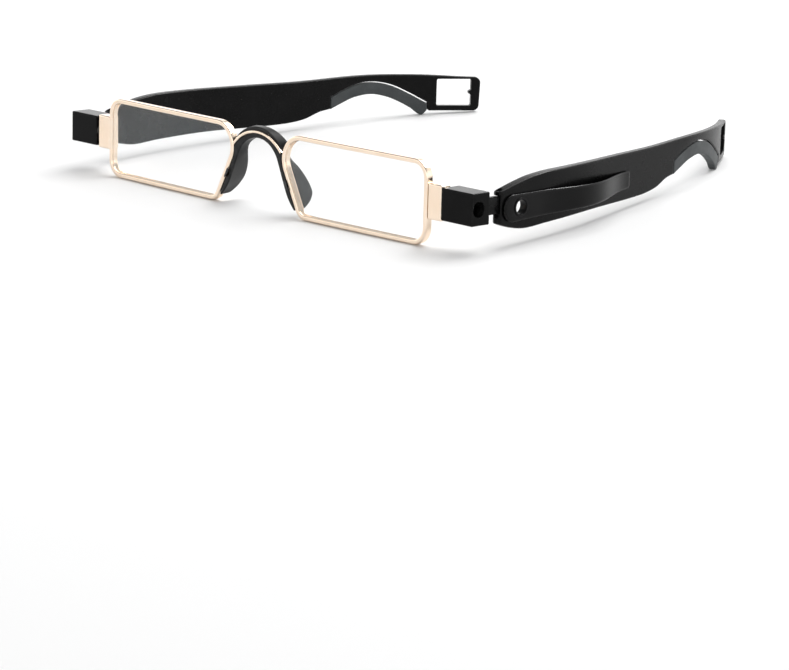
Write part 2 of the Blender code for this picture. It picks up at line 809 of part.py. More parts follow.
def circle(centre, radius, segments=24):
    points = []
    for i in range(segments):
        angle = 2 * math.pi * i / segments
        points.append((centre[0] + radius * math.cos(angle),
                       centre[1] + radius * math.sin(angle)))
    return points


def bent_plate(name, outline, holes, outside, inside, stations, side):
    """Fill an outline in (s, z), thicken it and bend it along the temple's path.

    outside(s) and inside(s) are offsets from the temple's outer face, outwards positive.
    """
    shape = bmesh.new()
    for ring in [outline, *holes]:
        verts = [shape.verts.new((s, 0.0, z)) for s, z in ring]
        for i, vert in enumerate(verts):
            shape.edges.new((verts[i - 1], vert))
    bmesh.ops.triangle_fill(shape, use_beauty=True, edges=shape.edges[:])
    for s in stations:
        everything = shape.verts[:] + shape.edges[:] + shape.faces[:]
        bmesh.ops.bisect_plane(shape, geom=everything, dist=1e-4,
                               plane_co=(s, 0.0, 0.0), plane_no=(1.0, 0.0, 0.0))
    grown = bmesh.ops.extrude_face_region(shape, geom=shape.faces[:])
    back = {item for item in grown["geom"] if isinstance(item, bmesh.types.BMVert)}
    frames = {}
    for vert in shape.verts:
        s = round(vert.co.x, 5)
        if s not in frames:
            frames[s] = temple_frame(s)
        (x, y), (out_x, out_y) = frames[s]
        offset = inside(s) if vert in back else outside(s)
        vert.co = Vector((side * (x + out_x * offset), y + out_y * offset, vert.co.z)) * MM
    mesh = bpy.data.meshes.new(name)
    tidy(shape, mesh)
    return mesh


def pad_outside_curve():
    return smooth(PAD_OUTSIDE, 2.4)


def temple_outline():
    """Side outline of a temple, (s, z), anticlockwise from the front's top corner."""
    top = smooth(TEMPLE_TOP, 2.6)
    bottom = smooth(TEMPLE_BOTTOM, 3.2)
    arch = pad_outside_curve()
    lift = PAD_GAP
    arch_edge = [(s, z + lift) for s, z in arch[1:-1]]
    pad_end = PAD_END + PAD_GAP
    tail = filleted([
        (pad_end, LOOP_FOOT + 0.1, 0.5),
        (TEMPLE_LENGTH - 0.4, LOOP_FOOT, TAIL_CORNER),
        (TEMPLE_LENGTH, TEMPLE_TOP[-1][1] - 0.15, TAIL_CORNER),
        (pad_end, TEMPLE_TOP[-1][1], 0.5),
    ], 18.0)
    tail = [(s, z) for s, z in tail if s > pad_end + 0.8 and (z < 3 or s > TEMPLE_LENGTH - 3.1)]
    front = [(PAD_START - PAD_GAP, arch[0][1] + lift)]
    rear = [(pad_end, arch[-1][1] + lift), (pad_end, LOOP_FOOT + 0.4)]
    outline = top[::-1] + bottom[:-1]
    outline += [(PAD_START - PAD_GAP, bottom[-1][1])] + front + arch_edge + rear
    outline += [(pad_end + 0.5, LOOP_FOOT + 0.03)] + tail
    return outline


def loop_hole():
    """The open loop near the tip, with a nub half-way up its end bar."""
    end = loop_start() + LOOP_LENGTH
    ring = filleted([
        (loop_start(), LOOP_BOTTOM, LOOP_CORNER),
        (end, LOOP_BOTTOM, LOOP_CORNER),
        (end, LOOP_TOP, LOOP_CORNER),
        (loop_start(), LOOP_TOP, LOOP_CORNER),
    ], 45.0)
    middle = (LOOP_TOP + LOOP_BOTTOM) / 2
    nub = [(end, middle - LOOP_NUB), (end - LOOP_NUB, middle - 0.25),
           (end - LOOP_NUB, middle + 0.25), (end, middle + LOOP_NUB)]
    half = len(ring) // 2
    return ring[:half] + nub + ring[half:]


def eyelet_clearance():
    """Radius of the holes that the eyelet passes through."""
    return EYELET_BORE / 2 + EYELET_WALL + FIT_GAP


def stations_between(first, last, spacing):
    count = max(1, round((last - first) / spacing))
    return [first + (last - first) * i / count for i in range(1, count)]


def make_temple(name, side, parent, has_clip):
    pin_s = PIN_SETBACK
    stations = [pin_s - 0.9, pin_s - 0.7, pin_s - 0.4, pin_s]
    stations += stations_between(STRAIGHT - 1, TEMPLE_LENGTH - 1.5, 3.1)
    mesh = bent_plate(name, temple_outline(), [loop_hole()], temple_outside, temple_inside,
                      stations, side)
    temple = place(name, mesh, parent)
    temple.data.materials.append(finish_material(name, "black"))
    x = pin_x()
    inner = temple_outer() - TEMPLE_THICKNESS
    if has_clip:
        wide = EYELET_SEAT / 2
        narrow = eyelet_clearance()
        floor = inner + EYELET_SEAT_DEPTH
        hole = turned([(inner - 1, wide), (floor, wide), (floor, narrow),
                       (temple_outer() + 1, narrow)], (path_start() + EYELET_S, EYELET_Z), "X", 32)
        boolean(temple, cutter("cut_eyelet_" + name, *mirrored(loft(hole), side), parent))
    reach = TONGUE_THICKNESS / 2
    high = TONGUE_HEIGHT / 2 + TONGUE_GAP
    slot = box((inner - 1, x + reach + TONGUE_GAP),
               (path_start() - 1, pin_y() + reach + 2 * TONGUE_GAP), (-high, high))
    boolean(temple, cutter("cut_slot_" + name, *mirrored(slot, side), parent))
    mouth = box((x, temple_outer() + 1), (path_start() - 1, pin_y() - reach), (-high, high))
    boolean(temple, cutter("cut_mouth_" + name, *mirrored(mouth, side), parent))
    shaft = PIN / 2 + TURN_GAP
    head = PIN_HEAD / 2 + TURN_GAP
    seat = PIN_TOP - PIN_HEAD_HEIGHT - TURN_GAP
    hole = turned([(PIN_LOW - TURN_GAP, shaft), (seat, shaft), (seat, head),
                   (TEMPLE_TOP[1][1] + 1, head)], (x, pin_y()), "Z", 20)
    boolean(temple, cutter("cut_pin_" + name, *mirrored(loft(hole), side), parent))
    return temple


def make_ear_pad(name, side, parent):
    """The rubber pad that lines the arch and ends in a small foot."""
    inside = smooth(PAD_INSIDE, 2.4)
    outline = pad_outside_curve()[::-1] + inside + list(PAD_FOOT) + [(PAD_END, -2.7)]
    stations = stations_between(PAD_START, PAD_END, 2.4)
    mesh = bent_plate(name, outline, [], temple_outside, temple_inside, stations, side)
    pad = place(name, mesh, parent)
    pad.data.materials.append(finish_material(name, "grey_rubber"))
    return pad


# ------------------------------------------------------------------------ pocket clip
def clip_bow(s):
    """Gap between clip and temple: it leaves the temple, bows out and comes back."""
    share = min(max((s - CLIP_BOW_START) / (CLIP_BOW_END - CLIP_BOW_START), 0.0), 1.0)
    return CLIP_SEAT + CLIP_BOW * math.sin(math.pi * share) ** 2


def make_clip(side, parent):
    outline = []
    for i in range(13):
        angle = math.pi / 2 + math.pi * i / 12
        outline.append((CLIP_HEAD_S + CLIP_RADIUS * math.cos(angle),
                        CLIP_HEAD_Z + CLIP_RADIUS * math.sin(angle)))
    tail = filleted([
        (CLIP_HEAD_S, CLIP_HEAD_Z - CLIP_RADIUS, 0.5),
        (CLIP_END, CLIP_TAIL_BOTTOM, CLIP_TAIL_CORNER),
        (CLIP_END, CLIP_TAIL_TOP, CLIP_TAIL_CORNER),
        (CLIP_HEAD_S, CLIP_HEAD_Z + CLIP_RADIUS, 0.5),
    ], 30.0)
    outline += [point for point in tail if point[0] > CLIP_HEAD_S + 5]
    hole = circle((EYELET_S, EYELET_Z), eyelet_clearance())
    stations = stations_between(STRAIGHT, CLIP_END - 1, 2.0)
    mesh = bent_plate("pocket_clip", outline, [hole],
                      lambda s: clip_bow(s) + CLIP_THICKNESS, clip_bow, stations, side)
    clip = place("pocket_clip", mesh, parent)
    clip.data.materials.append(finish_material("pocket_clip", "black"))
    return clip


def make_eyelet(side, parent):
    """The hollow rivet that holds the clip's root to the temple."""
    bore = EYELET_BORE / 2
    outer = bore + EYELET_WALL
    flange = EYELET_FLANGE / 2
    high = temple_outer() + CLIP_SEAT + CLIP_THICKNESS + 0.05
    low = temple_outer() - TEMPLE_THICKNESS + EYELET_SEAT_DEPTH - 0.05
    lip = EYELET_FLANGE_HEIGHT
    y = path_start() + EYELET_S
    section = [(low - lip, bore), (low - lip, flange), (low, flange), (low, outer),
               (high, outer), (high, flange), (high + lip, flange), (high + lip, bore)]
    shape = washer(section, (y, EYELET_Z), "X")
    return piece("clip_eyelet", *mirrored(shape, side), "black", parent)


# ------------------------------------------------------------------------- assembly
def empty(name, location, parent=None):
    marker = bpy.data.objects.new(name, None)
    bpy.context.scene.collection.objects.link(marker)
    marker.parent = parent
    marker.location = Vector(location) * MM
    marker.empty_display_size = 0.01
    return marker


def stand(glasses):
    """Lean the glasses on rims and ear pads, and centre their box over the origin."""
    foot_s, foot_z = PAD_FOOT[1]
    (_, foot_y), _ = temple_frame(foot_s)
    rise = foot_z - RIM_BOTTOM
    run = foot_y - (RIM_FRONT + RIM_DEPTH)
    glasses.rotation_euler = (-math.atan2(rise, run), 0.0, 0.0)
    bpy.context.view_layer.update()
    low = Vector((math.inf,) * 3)
    high = -low
    for item in bpy.context.scene.objects:
        if item.type != "MESH" or item.hide_render:
            continue
        for vert in item.data.vertices:
            point = item.matrix_world @ vert.co
            low = Vector(map(min, low, point))
            high = Vector(map(max, high, point))
    glasses.location = (-(low.x + high.x) / 2, -(low.y + high.y) / 2, -low.z)


def main():
    clear_scene()
    glasses = empty("glasses", (0, 0, 0))
    for side_name, side in SIDES:
        make_rim("rim_" + side_name, side, glasses)
        make_lens("lens_" + side_name, side, glasses)
        make_tab("saddle_tab_" + side_name, side, glasses)
        make_plate("end_plate_" + side_name, side, glasses)
        make_lock_screw("rim_screw_" + side_name, side, glasses)
        make_swivel_screw("swivel_screw_" + side_name, side, glasses)
        make_spring_washer("spring_washer_" + side_name, side, glasses)
        make_friction_washer("friction_washer_" + side_name, side, glasses)
        swivel = empty("swivel_axis_" + side_name,
                       (side * block_inner(), SWIVEL_Y, 0.0), glasses)
        make_block("swivel_block_" + side_name, side, swivel)
        make_hinge_pin("hinge_pin_" + side_name, side, swivel)
        fold = empty("fold_axis_" + side_name,
                     (side * (pin_x() - block_inner()), pin_y() - SWIVEL_Y, 0.0), swivel)
        make_temple("temple_" + side_name, side, fold, side_name == "left")
        make_ear_pad("ear_pad_" + side_name, side, fold)
        if side_name == "left":
            make_clip(side, fold)
            make_eyelet(side, fold)
    make_bridge(glasses)
    make_saddle(glasses)
    stand(glasses)


main()
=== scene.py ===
"""Looks for the folding reading glasses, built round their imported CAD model.

Sizes are in millimetres in the drawing's own frame: X to the wearer's left, Y towards
the wearer, Z up, with Z = 0 on the swivel axes.  to_row() leans and lifts a point of
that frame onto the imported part, whose swivel and fold axes fix it.
"""

import json
import math

import bmesh
import bpy
from mathutils import Matrix, Vector


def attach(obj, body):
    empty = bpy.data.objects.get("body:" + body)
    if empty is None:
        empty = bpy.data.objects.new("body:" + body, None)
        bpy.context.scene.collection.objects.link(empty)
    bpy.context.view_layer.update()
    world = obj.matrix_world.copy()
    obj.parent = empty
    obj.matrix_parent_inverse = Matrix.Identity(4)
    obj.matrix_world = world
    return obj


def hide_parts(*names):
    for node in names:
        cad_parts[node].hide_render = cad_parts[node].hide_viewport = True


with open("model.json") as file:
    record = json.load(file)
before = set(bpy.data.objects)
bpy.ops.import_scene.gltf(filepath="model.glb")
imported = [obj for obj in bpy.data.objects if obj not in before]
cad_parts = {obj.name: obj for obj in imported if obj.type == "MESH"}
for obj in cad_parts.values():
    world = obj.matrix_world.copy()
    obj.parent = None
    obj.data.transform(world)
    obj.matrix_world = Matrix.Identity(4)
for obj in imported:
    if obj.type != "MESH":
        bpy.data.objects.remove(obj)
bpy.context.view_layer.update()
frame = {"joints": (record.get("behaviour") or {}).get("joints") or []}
MM = 0.001

# ---- dimensions, as in the CAD
HALF_WIDTH = 70.0
RIM_TOP = 8.95
RIM_BOTTOM = -10.46
RIM_NASAL = 9.2
RIM_NASAL_SLANT = 0.5
RIM_NASAL_TOP_RADIUS = 6.0
RIM_NASAL_CORNER = 3.2
RIM_CORNER = 4.2
RIM_TEMPORAL = 55.6
RIM_WIDTH = 1.1
RIM_DEPTH = 1.9
RIM_FRONT = -0.9
RIM_EDGE = 0.32              # rounding of the rim's outer edges
RIM_INNER_EDGE = 0.256
GROOVE_DEPTH = 0.45
GROOVE_WIDTH = 1.3
FRONT_SAG = 1.1
SAG_END = 60.0
LENS_EDGE = 1.1
LENS_DOME = 0.9
FIT_GAP = 0.08

BRIDGE_TOP = 8.25
BRIDGE_RADIUS = 11.3
BRIDGE_WIRE = 0.65
BRIDGE_DEPTH = 1.3
BRIDGE_PROUD = 0.25
BRIDGE_EDGE = 0.22
SADDLE_TOP = 9.2
SADDLE_FRONT_RADIUS = 10.3
SADDLE_REAR_RADIUS = 14.0
SADDLE_ARCH_TOP = 6.5
SADDLE_ARCH_RADIUS = 7.5
SADDLE_ARCH_END = 66.0
SADDLE_LEG = ((9.2, -3.4), (10.7, -6.3), (12.8, -8.8))
SADDLE_FRONT = 0.15
PAD_THICKNESS = 1.0
SADDLE_GAP = 0.2
PAD_REACH = ((0.0, 2.5), (0.2, 2.5), (0.3, 2.7), (0.41, 3.5), (0.52, 4.8), (0.64, 5.8),
             (0.76, 6.3), (0.86, 6.1), (0.95, 4.8), (1.0, 3.0))
PAD_FLARE = ((0.0, 0.0), (0.3, 0.0), (0.41, 0.2), (0.52, 0.75), (0.76, 1.3), (0.86, 1.3),
             (0.95, 0.7), (1.0, 0.2))
TAB_HEIGHT = 2.1
TAB_REACH = 0.4
TAB_THICKNESS = 0.3
TAB_CENTRE = -3.1
TAB_EDGE = 0.14

PLATE_WIDTH = 4.3
PLATE_HEIGHT = 8.1
PLATE_FRONT = -0.9
PLATE_DEPTH = 2.9
PLATE_EDGE = 0.35
BLOCK_WIDTH = 9.7
BLOCK_HEIGHT = 7.35
BLOCK_FRONT = -1.25
BLOCK_DEPTH = 5.45
BLOCK_EDGE = 0.3
SWIVEL_Y = 0.8
SCREW_SHAFT = 1.4
SCREW_HEAD = 3.0
SCREW_HEAD_HEIGHT = 1.0
SCREW_SLOT = 0.45
SMALL_SLOT = 0.24            # in the rim screws and fold pins
SCREW_THREAD = 2.4
SPRING_HEIGHT = 0.8
RECESS = 3.6
RECESS_FLOOR = 5.4
TURN_GAP = 0.1
LOCK_SCREW = 1.1
LOCK_SCREW_HEAD = 1.5
LOCK_SCREW_LENGTH = 5.6
PIN_Y = 9.0
PIN = 0.8
PIN_HEAD = 1.4
PIN_HEAD_HEIGHT = 0.45
PIN_LOW = -3.0
PIN_TOP = 2.85
TONGUE_THICKNESS = 1.2
TONGUE_HEIGHT = 4.0
TONGUE_GAP = 0.15

TEMPLE_OUTER = 69.2
PATH_START = 5.8
TEMPLE_THICKNESS = 2.4
TIP_THICKNESS = 1.9
TEMPLE_EDGE = 0.45           # rounding of the temple's edges
STRAIGHT = 14.0
TOE_ARC = 22.0
TOE_IN = 11.05
MIDDLE = 39.5
TAIL_ARC = 30.5
TAIL_BEND = 24.3
TEMPLE_LENGTH = 114.1
TAIL_CORNER = 1.6
LOOP_START = 102.2
LOOP_LENGTH = 9.3
LOOP_TOP = 5.6
LOOP_BOTTOM = -1.5
LOOP_CORNER = 0.4
LOOP_NUB = 0.7
LOOP_FOOT = -2.9
PAD_START = 71.0
PAD_END = 99.6
PAD_GAP = 0.1
PAD_EDGE = 0.28              # rounding of the ear pad's edges
PAD_SHRINK = 0.2             # moulded a little smaller than its seat
PAD_INSIDE = ((71.0, -1.3), (74.2, 0.0), (78.0, 1.35), (83.2, 2.0), (88.0, 1.1),
              (92.0, -0.5), (95.4, -2.3))
PAD_FOOT = ((97.1, -3.6), (98.1, -3.95), (99.0, -3.3))
PAD_OUTSIDE = ((71.0, 1.9), (74.0, 3.2), (78.5, 4.7), (83.5, 5.2), (89.0, 4.3),
               (94.0, 2.2), (99.6, -0.7))
TEMPLE_TOP = ((2.3, 2.95), (4.5, 3.6), (8.0, 4.55), (13.0, 5.6), (20.0, 6.2), (45.0, 6.45),
              (62.0, 6.5), (80.0, 7.05), (96.0, 6.8), (108.0, 6.25))
TEMPLE_BOTTOM = ((2.1, -4.2), (5.5, -5.3), (10.5, -6.05), (18.0, -5.55), (34.0, -4.75),
                 (56.0, -4.35), (63.0, -3.5), (67.5, -1.9), (70.9, -1.3))

EYELET_S = 8.4
EYELET_Z = -0.85
EYELET_BORE = 3.4
EYELET_WALL = 0.2
EYELET_FLANGE = 4.3
EYELET_FLANGE_HEIGHT = 0.12
EYELET_SEAT = 6.4
EYELET_SEAT_DEPTH = 1.3
CLIP_HEAD_S = 6.3
CLIP_HEAD_Z = -1.0
CLIP_RADIUS = 3.1
CLIP_THICKNESS = 0.7
CLIP_EDGE = 0.3              # height of the rounding along the clip's edges
CLIP_CROWN = 2.6             # how much wider than high that rounding is
CLIP_END = 49.8
CLIP_TAIL_TOP = 2.35
CLIP_TAIL_BOTTOM = -1.7
CLIP_TAIL_CORNER = 0.8
CLIP_BOW = 2.4
CLIP_BOW_START = 14.5
CLIP_BOW_END = 48.4
CLIP_SEAT = 0.06

SIDES = (("left", 1.0), ("right", -1.0))


# ---- the drawing's frame
def joint(name):
    return next(j for j in frame["joints"] if j["name"] == name)


def block_inner():
    return HALF_WIDTH - BLOCK_WIDTH


UP = Vector(joint("fold_left")["axis"]).normalized()
BACK = Vector((0.0, UP.z, -UP.y))
ORIGIN = (Vector(joint("swivel_left")["pos_m"])
          - Vector((block_inner() * MM, 0.0, 0.0)) - BACK * SWIVEL_Y * MM)


def to_row(point):
    """A point of the drawing, in millimetres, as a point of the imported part."""
    x, y, z = point
    return ORIGIN + (Vector((x, 0.0, 0.0)) + BACK * y + UP * z) * MM


# ---- materials
RUBBED = "rubbed"            # vertex attribute, 1 on rounded outside edges
RUB_FROM = 14.0              # bend at an edge, in degrees, from which it counts as rubbed
RUB_SPAN = 5.0
SHARP = 40.0                 # degrees


class Nodes:
    """A material's node tree, with short calls for the nodes used here."""

    def __init__(self, name):
        self.material = bpy.data.materials.new(name)
        self.material.use_nodes = True
        self.tree = self.material.node_tree
        self.shader = self.tree.nodes["Principled BSDF"]
        self.place = self.new("TexCoord").outputs["Object"]

    def link(self, source, target):
        self.tree.links.new(source, target)

    def new(self, kind, **values):
        """A node of this kind, with these values on its sockets."""
        node = self.tree.nodes.new("ShaderNode" + kind)
        for name, value in values.items():
            node.inputs[name.replace("_", " ")].default_value = value
        return node

    def noise(self, scale, detail=4.0, roughness=0.55, stretch=None):
        node = self.new("TexNoise", Scale=scale, Detail=detail, Roughness=roughness)
        place = self.place
        if stretch:
            mapping = self.new("Mapping", Scale=stretch)
            self.link(place, mapping.inputs["Vector"])
            place = mapping.outputs["Vector"]
        self.link(place, node.inputs["Vector"])
        return node.outputs["Fac"]

    def cells(self, scale):
        node = self.new("TexVoronoi", Scale=scale)
        self.link(self.place, node.inputs["Vector"])
        return node.outputs["Distance"]

    def ramp(self, source, low, high, start=0.3, end=0.7):
        node = self.new("ValToRGB")
        stops = node.color_ramp.elements
        stops[0].position = start
        stops[1].position = end
        stops[0].color = (*low, 1.0)
        stops[1].color = (*high, 1.0)
        self.link(source, node.inputs["Fac"])
        return node.outputs["Color"]

    def span(self, source, low, high, start=0.3, end=0.7):
        node = self.new("MapRange", From_Min=start, From_Max=end, To_Min=low, To_Max=high)
        self.link(source, node.inputs["Value"])
        return node.outputs["Result"]

    def mix(self, first, second, factor):
        node = self.new("Mix")
        node.data_type = "RGBA"
        self.link(factor, node.inputs["Factor"])
        self.link(first, node.inputs["A"])
        self.link(second, node.inputs["B"])
        return node.outputs["Result"]

    def worn_edge(self):
        """Rises from 0 to 1 on the rounded outside edges, in patches."""
        node = self.new("Attribute")
        node.attribute_name = RUBBED
        patches = self.noise(650.0, 3.0)
        times = self.new("Math")
        times.operation = "MULTIPLY"
        self.link(node.outputs["Fac"], times.inputs[0])
        self.link(self.span(patches, 0.0, 1.0, 0.35, 0.65), times.inputs[1])
        return times.outputs["Value"]

    def bump(self, *layers):
        """Layers of (height, depth in mm), one over another."""
        normal = None
        for height, depth in layers:
            node = self.new("Bump", Strength=1.0, Distance=depth * MM)
            self.link(height, node.inputs["Height"])
            if normal:
                self.link(normal, node.inputs["Normal"])
            normal = node.outputs["Normal"]
        self.link(normal, self.shader.inputs["Normal"])

    def set(self, **values):
        for name, value in values.items():
            self.shader.inputs[name.replace("_", " ")].default_value = value


def gold_material():
    """Polished pale champagne plating: faint cloudiness, hairline scratches."""
    n = Nodes("champagne_gold")
    cloud = n.noise(220.0, 3.0)
    colour = n.ramp(cloud, (0.87, 0.70, 0.545), (0.91, 0.75, 0.60))
    worn = n.ramp(n.noise(900.0, 2.0), (0.89, 0.75, 0.62), (0.94, 0.84, 0.73))
    n.link(n.mix(colour, worn, n.worn_edge()), n.shader.inputs["Base Color"])
    hairline = n.noise(2600.0, 3.0, 0.6, (0.06, 1.0, 1.0))
    n.link(n.span(hairline, 0.13, 0.27), n.shader.inputs["Roughness"])
    n.bump((hairline, 0.0016), (n.noise(420.0, 2.0), 0.006))
    n.set(Metallic=1.0)
    return n.material


def steel_material(name, low, high):
    n = Nodes(name)
    colour = n.ramp(n.noise(700.0), (low, low, low * 1.03), (high, high, high * 1.02))
    n.link(colour, n.shader.inputs["Base Color"])
    turning = n.noise(5200.0, 2.0, 0.5, (1.0, 0.15, 0.15))
    n.link(n.span(turning, 0.2, 0.38), n.shader.inputs["Roughness"])
    n.bump((turning, 0.003))
    n.set(Metallic=1.0)
    return n.material


def black_material(name, low, high, rough, grain, depth, edge, shine):
    """Satin black moulded plastic: fine grain, soft mottling, rubbed edges."""
    n = Nodes(name)
    mottle = n.noise(160.0, 4.0)
    body = n.ramp(mottle, (low,) * 3, (high, high, high * 1.04))
    rubbed = n.ramp(n.noise(1400.0, 3.0), (high * 1.5,) * 3, (edge,) * 3)
    n.link(n.mix(body, rubbed, n.worn_edge()), n.shader.inputs["Base Color"])
    fine = n.noise(grain, 3.0, 0.6)
    n.link(n.span(n.noise(300.0, 3.0), rough - 0.015, rough + 0.025), n.shader.inputs["Roughness"])
    n.bump((fine, depth), (n.noise(260.0, 2.0), depth * 0.8))
    n.set(IOR=1.5, Specular_IOR_Level=shine)
    return n.material


def rubber_material():
    """Matt grey rubber: fine stipple and a little dust in its colour."""
    n = Nodes("pad_rubber")
    body = n.ramp(n.noise(240.0, 5.0), (0.034, 0.038, 0.040), (0.052, 0.058, 0.060))
    dust = n.ramp(n.noise(3800.0, 2.0), (0.04, 0.044, 0.045), (0.085, 0.088, 0.088), 0.45, 0.75)
    n.link(n.mix(body, dust, n.span(n.noise(90.0), 0.05, 0.35)), n.shader.inputs["Base Color"])
    stipple = n.cells(4200.0)
    n.link(n.span(n.noise(500.0), 0.55, 0.72), n.shader.inputs["Roughness"])
    n.bump((stipple, 0.008), (n.noise(350.0), 0.02))
    n.set(Sheen_Weight=0.08, IOR=1.45, Specular_IOR_Level=0.25)
    return n.material


def nylon_material():
    n = Nodes("washer_nylon")
    n.link(n.ramp(n.noise(900.0), (0.035, 0.034, 0.032), (0.05, 0.049, 0.047)),
           n.shader.inputs["Base Color"])
    n.link(n.span(n.noise(1800.0), 0.4, 0.6), n.shader.inputs["Roughness"])
    n.bump((n.noise(2500.0), 0.004))
    return n.material


def lens_material():
    """Clear coated lens: seen mostly through, with more shine at a slant; that shine is a painted
    reflection, a pale diffuse veil that grows more opaque at a slant.
    """
    n = Nodes("lens_clear")
    # painted reflection: this pale bluish colour, laid on at low alpha, stands in for the white
    # room seen in the lens
    tint_and_painted_reflection = n.ramp(n.noise(60.0, 2.0), (0.86, 0.92, 0.95), (0.93, 0.96, 0.97))
    n.link(tint_and_painted_reflection, n.shader.inputs["Base Color"])
    # opacity rising towards grazing angles paints the lens's reflection as a whiter veil
    facing = n.new("LayerWeight", Blend=0.5)
    n.link(n.span(facing.outputs["Facing"], 0.05, 0.6, 0.45, 1.0), n.shader.inputs["Alpha"])
    n.link(n.span(n.noise(140.0), 0.015, 0.045), n.shader.inputs["Roughness"])
    n.bump((n.noise(70.0, 1.0), 0.002))
    n.set(Coat_Weight=0.25, IOR=1.5)
    return n.material


GOLD = gold_material()
STEEL = steel_material("screw_steel", 0.42, 0.6)
DARK_STEEL = steel_material("blackened_steel", 0.03, 0.07)
NYLON = nylon_material()
RUBBER = rubber_material()
LENS = lens_material()
BLOCK_BLACK = black_material("block_black", 0.0015, 0.003, 0.2, 3600.0, 0.002, 0.02, 0.07)
TEMPLE_BLACK = black_material("temple_black", 0.002, 0.004, 0.26, 3000.0, 0.002, 0.015, 0.09)
CLIP_BLACK = black_material("clip_black", 0.0015, 0.003, 0.2, 3400.0, 0.0015, 0.02, 0.12)
SADDLE_BLACK = black_material("saddle_black", 0.003, 0.007, 0.36, 1500.0, 0.008, 0.02, 0.18)


# ---- pieces
def finish_mesh(shape, mesh):
    bmesh.ops.recalc_face_normals(shape, faces=shape.faces[:])
    bmesh.ops.triangulate(shape, faces=[f for f in shape.faces if len(f.verts) > 4])
    if shape.calc_volume(signed=True) < 0:
        bmesh.ops.reverse_faces(shape, faces=shape.faces[:])
    rubbed = shape.verts.layers.float.new(RUBBED)
    for vert in shape.verts:
        bend = max((e.calc_face_angle_signed(0.0) for e in vert.link_edges), default=0.0)
        vert[rubbed] = min(max((math.degrees(bend) - RUB_FROM) / RUB_SPAN, 0.0), 1.0)
    shape.to_mesh(mesh)
    shape.free()
    mesh.shade_smooth()
    mesh.set_sharp_from_angle(angle=math.radians(SHARP))


def mesh_from(name, verts, faces):
    mesh = bpy.data.meshes.new(name)
    mesh.from_pydata([to_row(v) for v in verts], [], faces)
    shape = bmesh.new()
    shape.from_mesh(mesh)
    finish_mesh(shape, mesh)
    return mesh


def add(name, mesh, material, body, node):
    """A visible piece that stands for a CAD node and rides on its body."""
    item = bpy.data.objects.new(name, mesh)
    bpy.context.scene.collection.objects.link(item)
    item.data.materials.append(material)
    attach(item, body)
    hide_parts(node)
    return item


def cut(target, verts, faces, operation="DIFFERENCE"):
    """Boolean with a hidden shape, applied at once."""
    tool = bpy.data.objects.new("tool", mesh_from("tool", verts, faces))
    bpy.context.scene.collection.objects.link(tool)
    change = target.modifiers.new("cut", "BOOLEAN")
    change.object = tool
    change.operation = operation
    apply_modifiers(target)
    bpy.data.objects.remove(tool)


def drill(target, side, profile, centre, axis, segments=64):
    """Cut a round hole, given as turned() takes it."""
    cut(target, *mirrored(loft(turned(profile, centre, axis, segments)), side))


def apply_modifiers(item):
    scene_graph = bpy.context.evaluated_depsgraph_get()
    scene_graph.update()
    mesh = bpy.data.meshes.new_from_object(item.evaluated_get(scene_graph))
    item.modifiers.clear()
    item.data = mesh


def weight_normals(item):
    change = item.modifiers.new("normals", "WEIGHTED_NORMAL")
    change.keep_sharp = True
    change.weight = 80


def subdivide(item, levels=2):
    change = item.modifiers.new("round", "SUBSURF")
    change.levels = levels
    change.render_levels = levels
    apply_modifiers(item)


def loft(rings, closed=False):
    """Skin a list of rings with the same number of points; open ends are capped."""
    size = len(rings[0])
    verts = [point for ring in rings for point in ring]
    spans = len(rings) if closed else len(rings) - 1
    faces = []
    for i in range(spans):
        here = i * size
        there = (i + 1) % len(rings) * size
        for j in range(size):
            k = (j + 1) % size
            faces.append((here + j, here + k, there + k, there + j))
    if not closed:
        faces.append(tuple(range(size)))
        faces.append(tuple(range((len(rings) - 1) * size, len(rings) * size)))
    return verts, faces


def mirrored(shape, side):
    verts, faces = shape
    return [(side * x, y, z) for x, y, z in verts], faces


def filleted(corners, step=6.0):
    """A closed outline from corners (u, v, radius); arcs are cut every `step` degrees."""
    outline = []
    count = len(corners)
    for i, (u, v, radius) in enumerate(corners):
        here = Vector((u, v))
        before = (Vector(corners[i - 1][:2]) - here).normalized()
        after = (Vector(corners[(i + 1) % count][:2]) - here).normalized()
        half = before.angle(after) / 2
        turn = math.pi - 2 * half
        centre = here + (before + after).normalized() * (radius / math.sin(half))
        start = here + before * (radius / math.tan(half)) - centre
        steps = max(2, math.ceil(math.degrees(turn) / step))
        sign = 1.0 if before.x * after.y - before.y * after.x < 0 else -1.0
        for k in range(steps + 1):
            spin = Matrix.Rotation(sign * turn * k / steps, 2)
            outline.append(tuple(centre + spin @ start))
    return outline


def subdivided(outline, longest):
    """Split a closed outline's long edges."""
    result = []
    for i, point in enumerate(outline):
        after = outline[(i + 1) % len(outline)]
        parts = max(1, math.ceil(math.dist(point, after) / longest))
        for k in range(parts):
            t = k / parts
            result.append((point[0] + (after[0] - point[0]) * t,
                           point[1] + (after[1] - point[1]) * t))
    return result


def smooth(points, spacing):
    """A curve through the points, by cubic Hermite spans with averaged slopes."""
    pts = [Vector(p) for p in points]
    slopes = []
    for i in range(len(pts)):
        low = pts[max(i - 1, 0)]
        high = pts[min(i + 1, len(pts) - 1)]
        slopes.append((high - low) / (high - low).length)
    curve = [tuple(pts[0])]
    for a, b, ta, tb in zip(pts, pts[1:], slopes, slopes[1:]):
        span = (b - a).length
        steps = max(1, round(span / spacing))
        for k in range(1, steps + 1):
            t = k / steps
            h = (2 * t**3 - 3 * t**2 + 1) * a + (t**3 - 2 * t**2 + t) * span * ta
            h += (3 * t**2 - 2 * t**3) * b + (t**3 - t**2) * span * tb
            curve.append(tuple(h))
    return curve


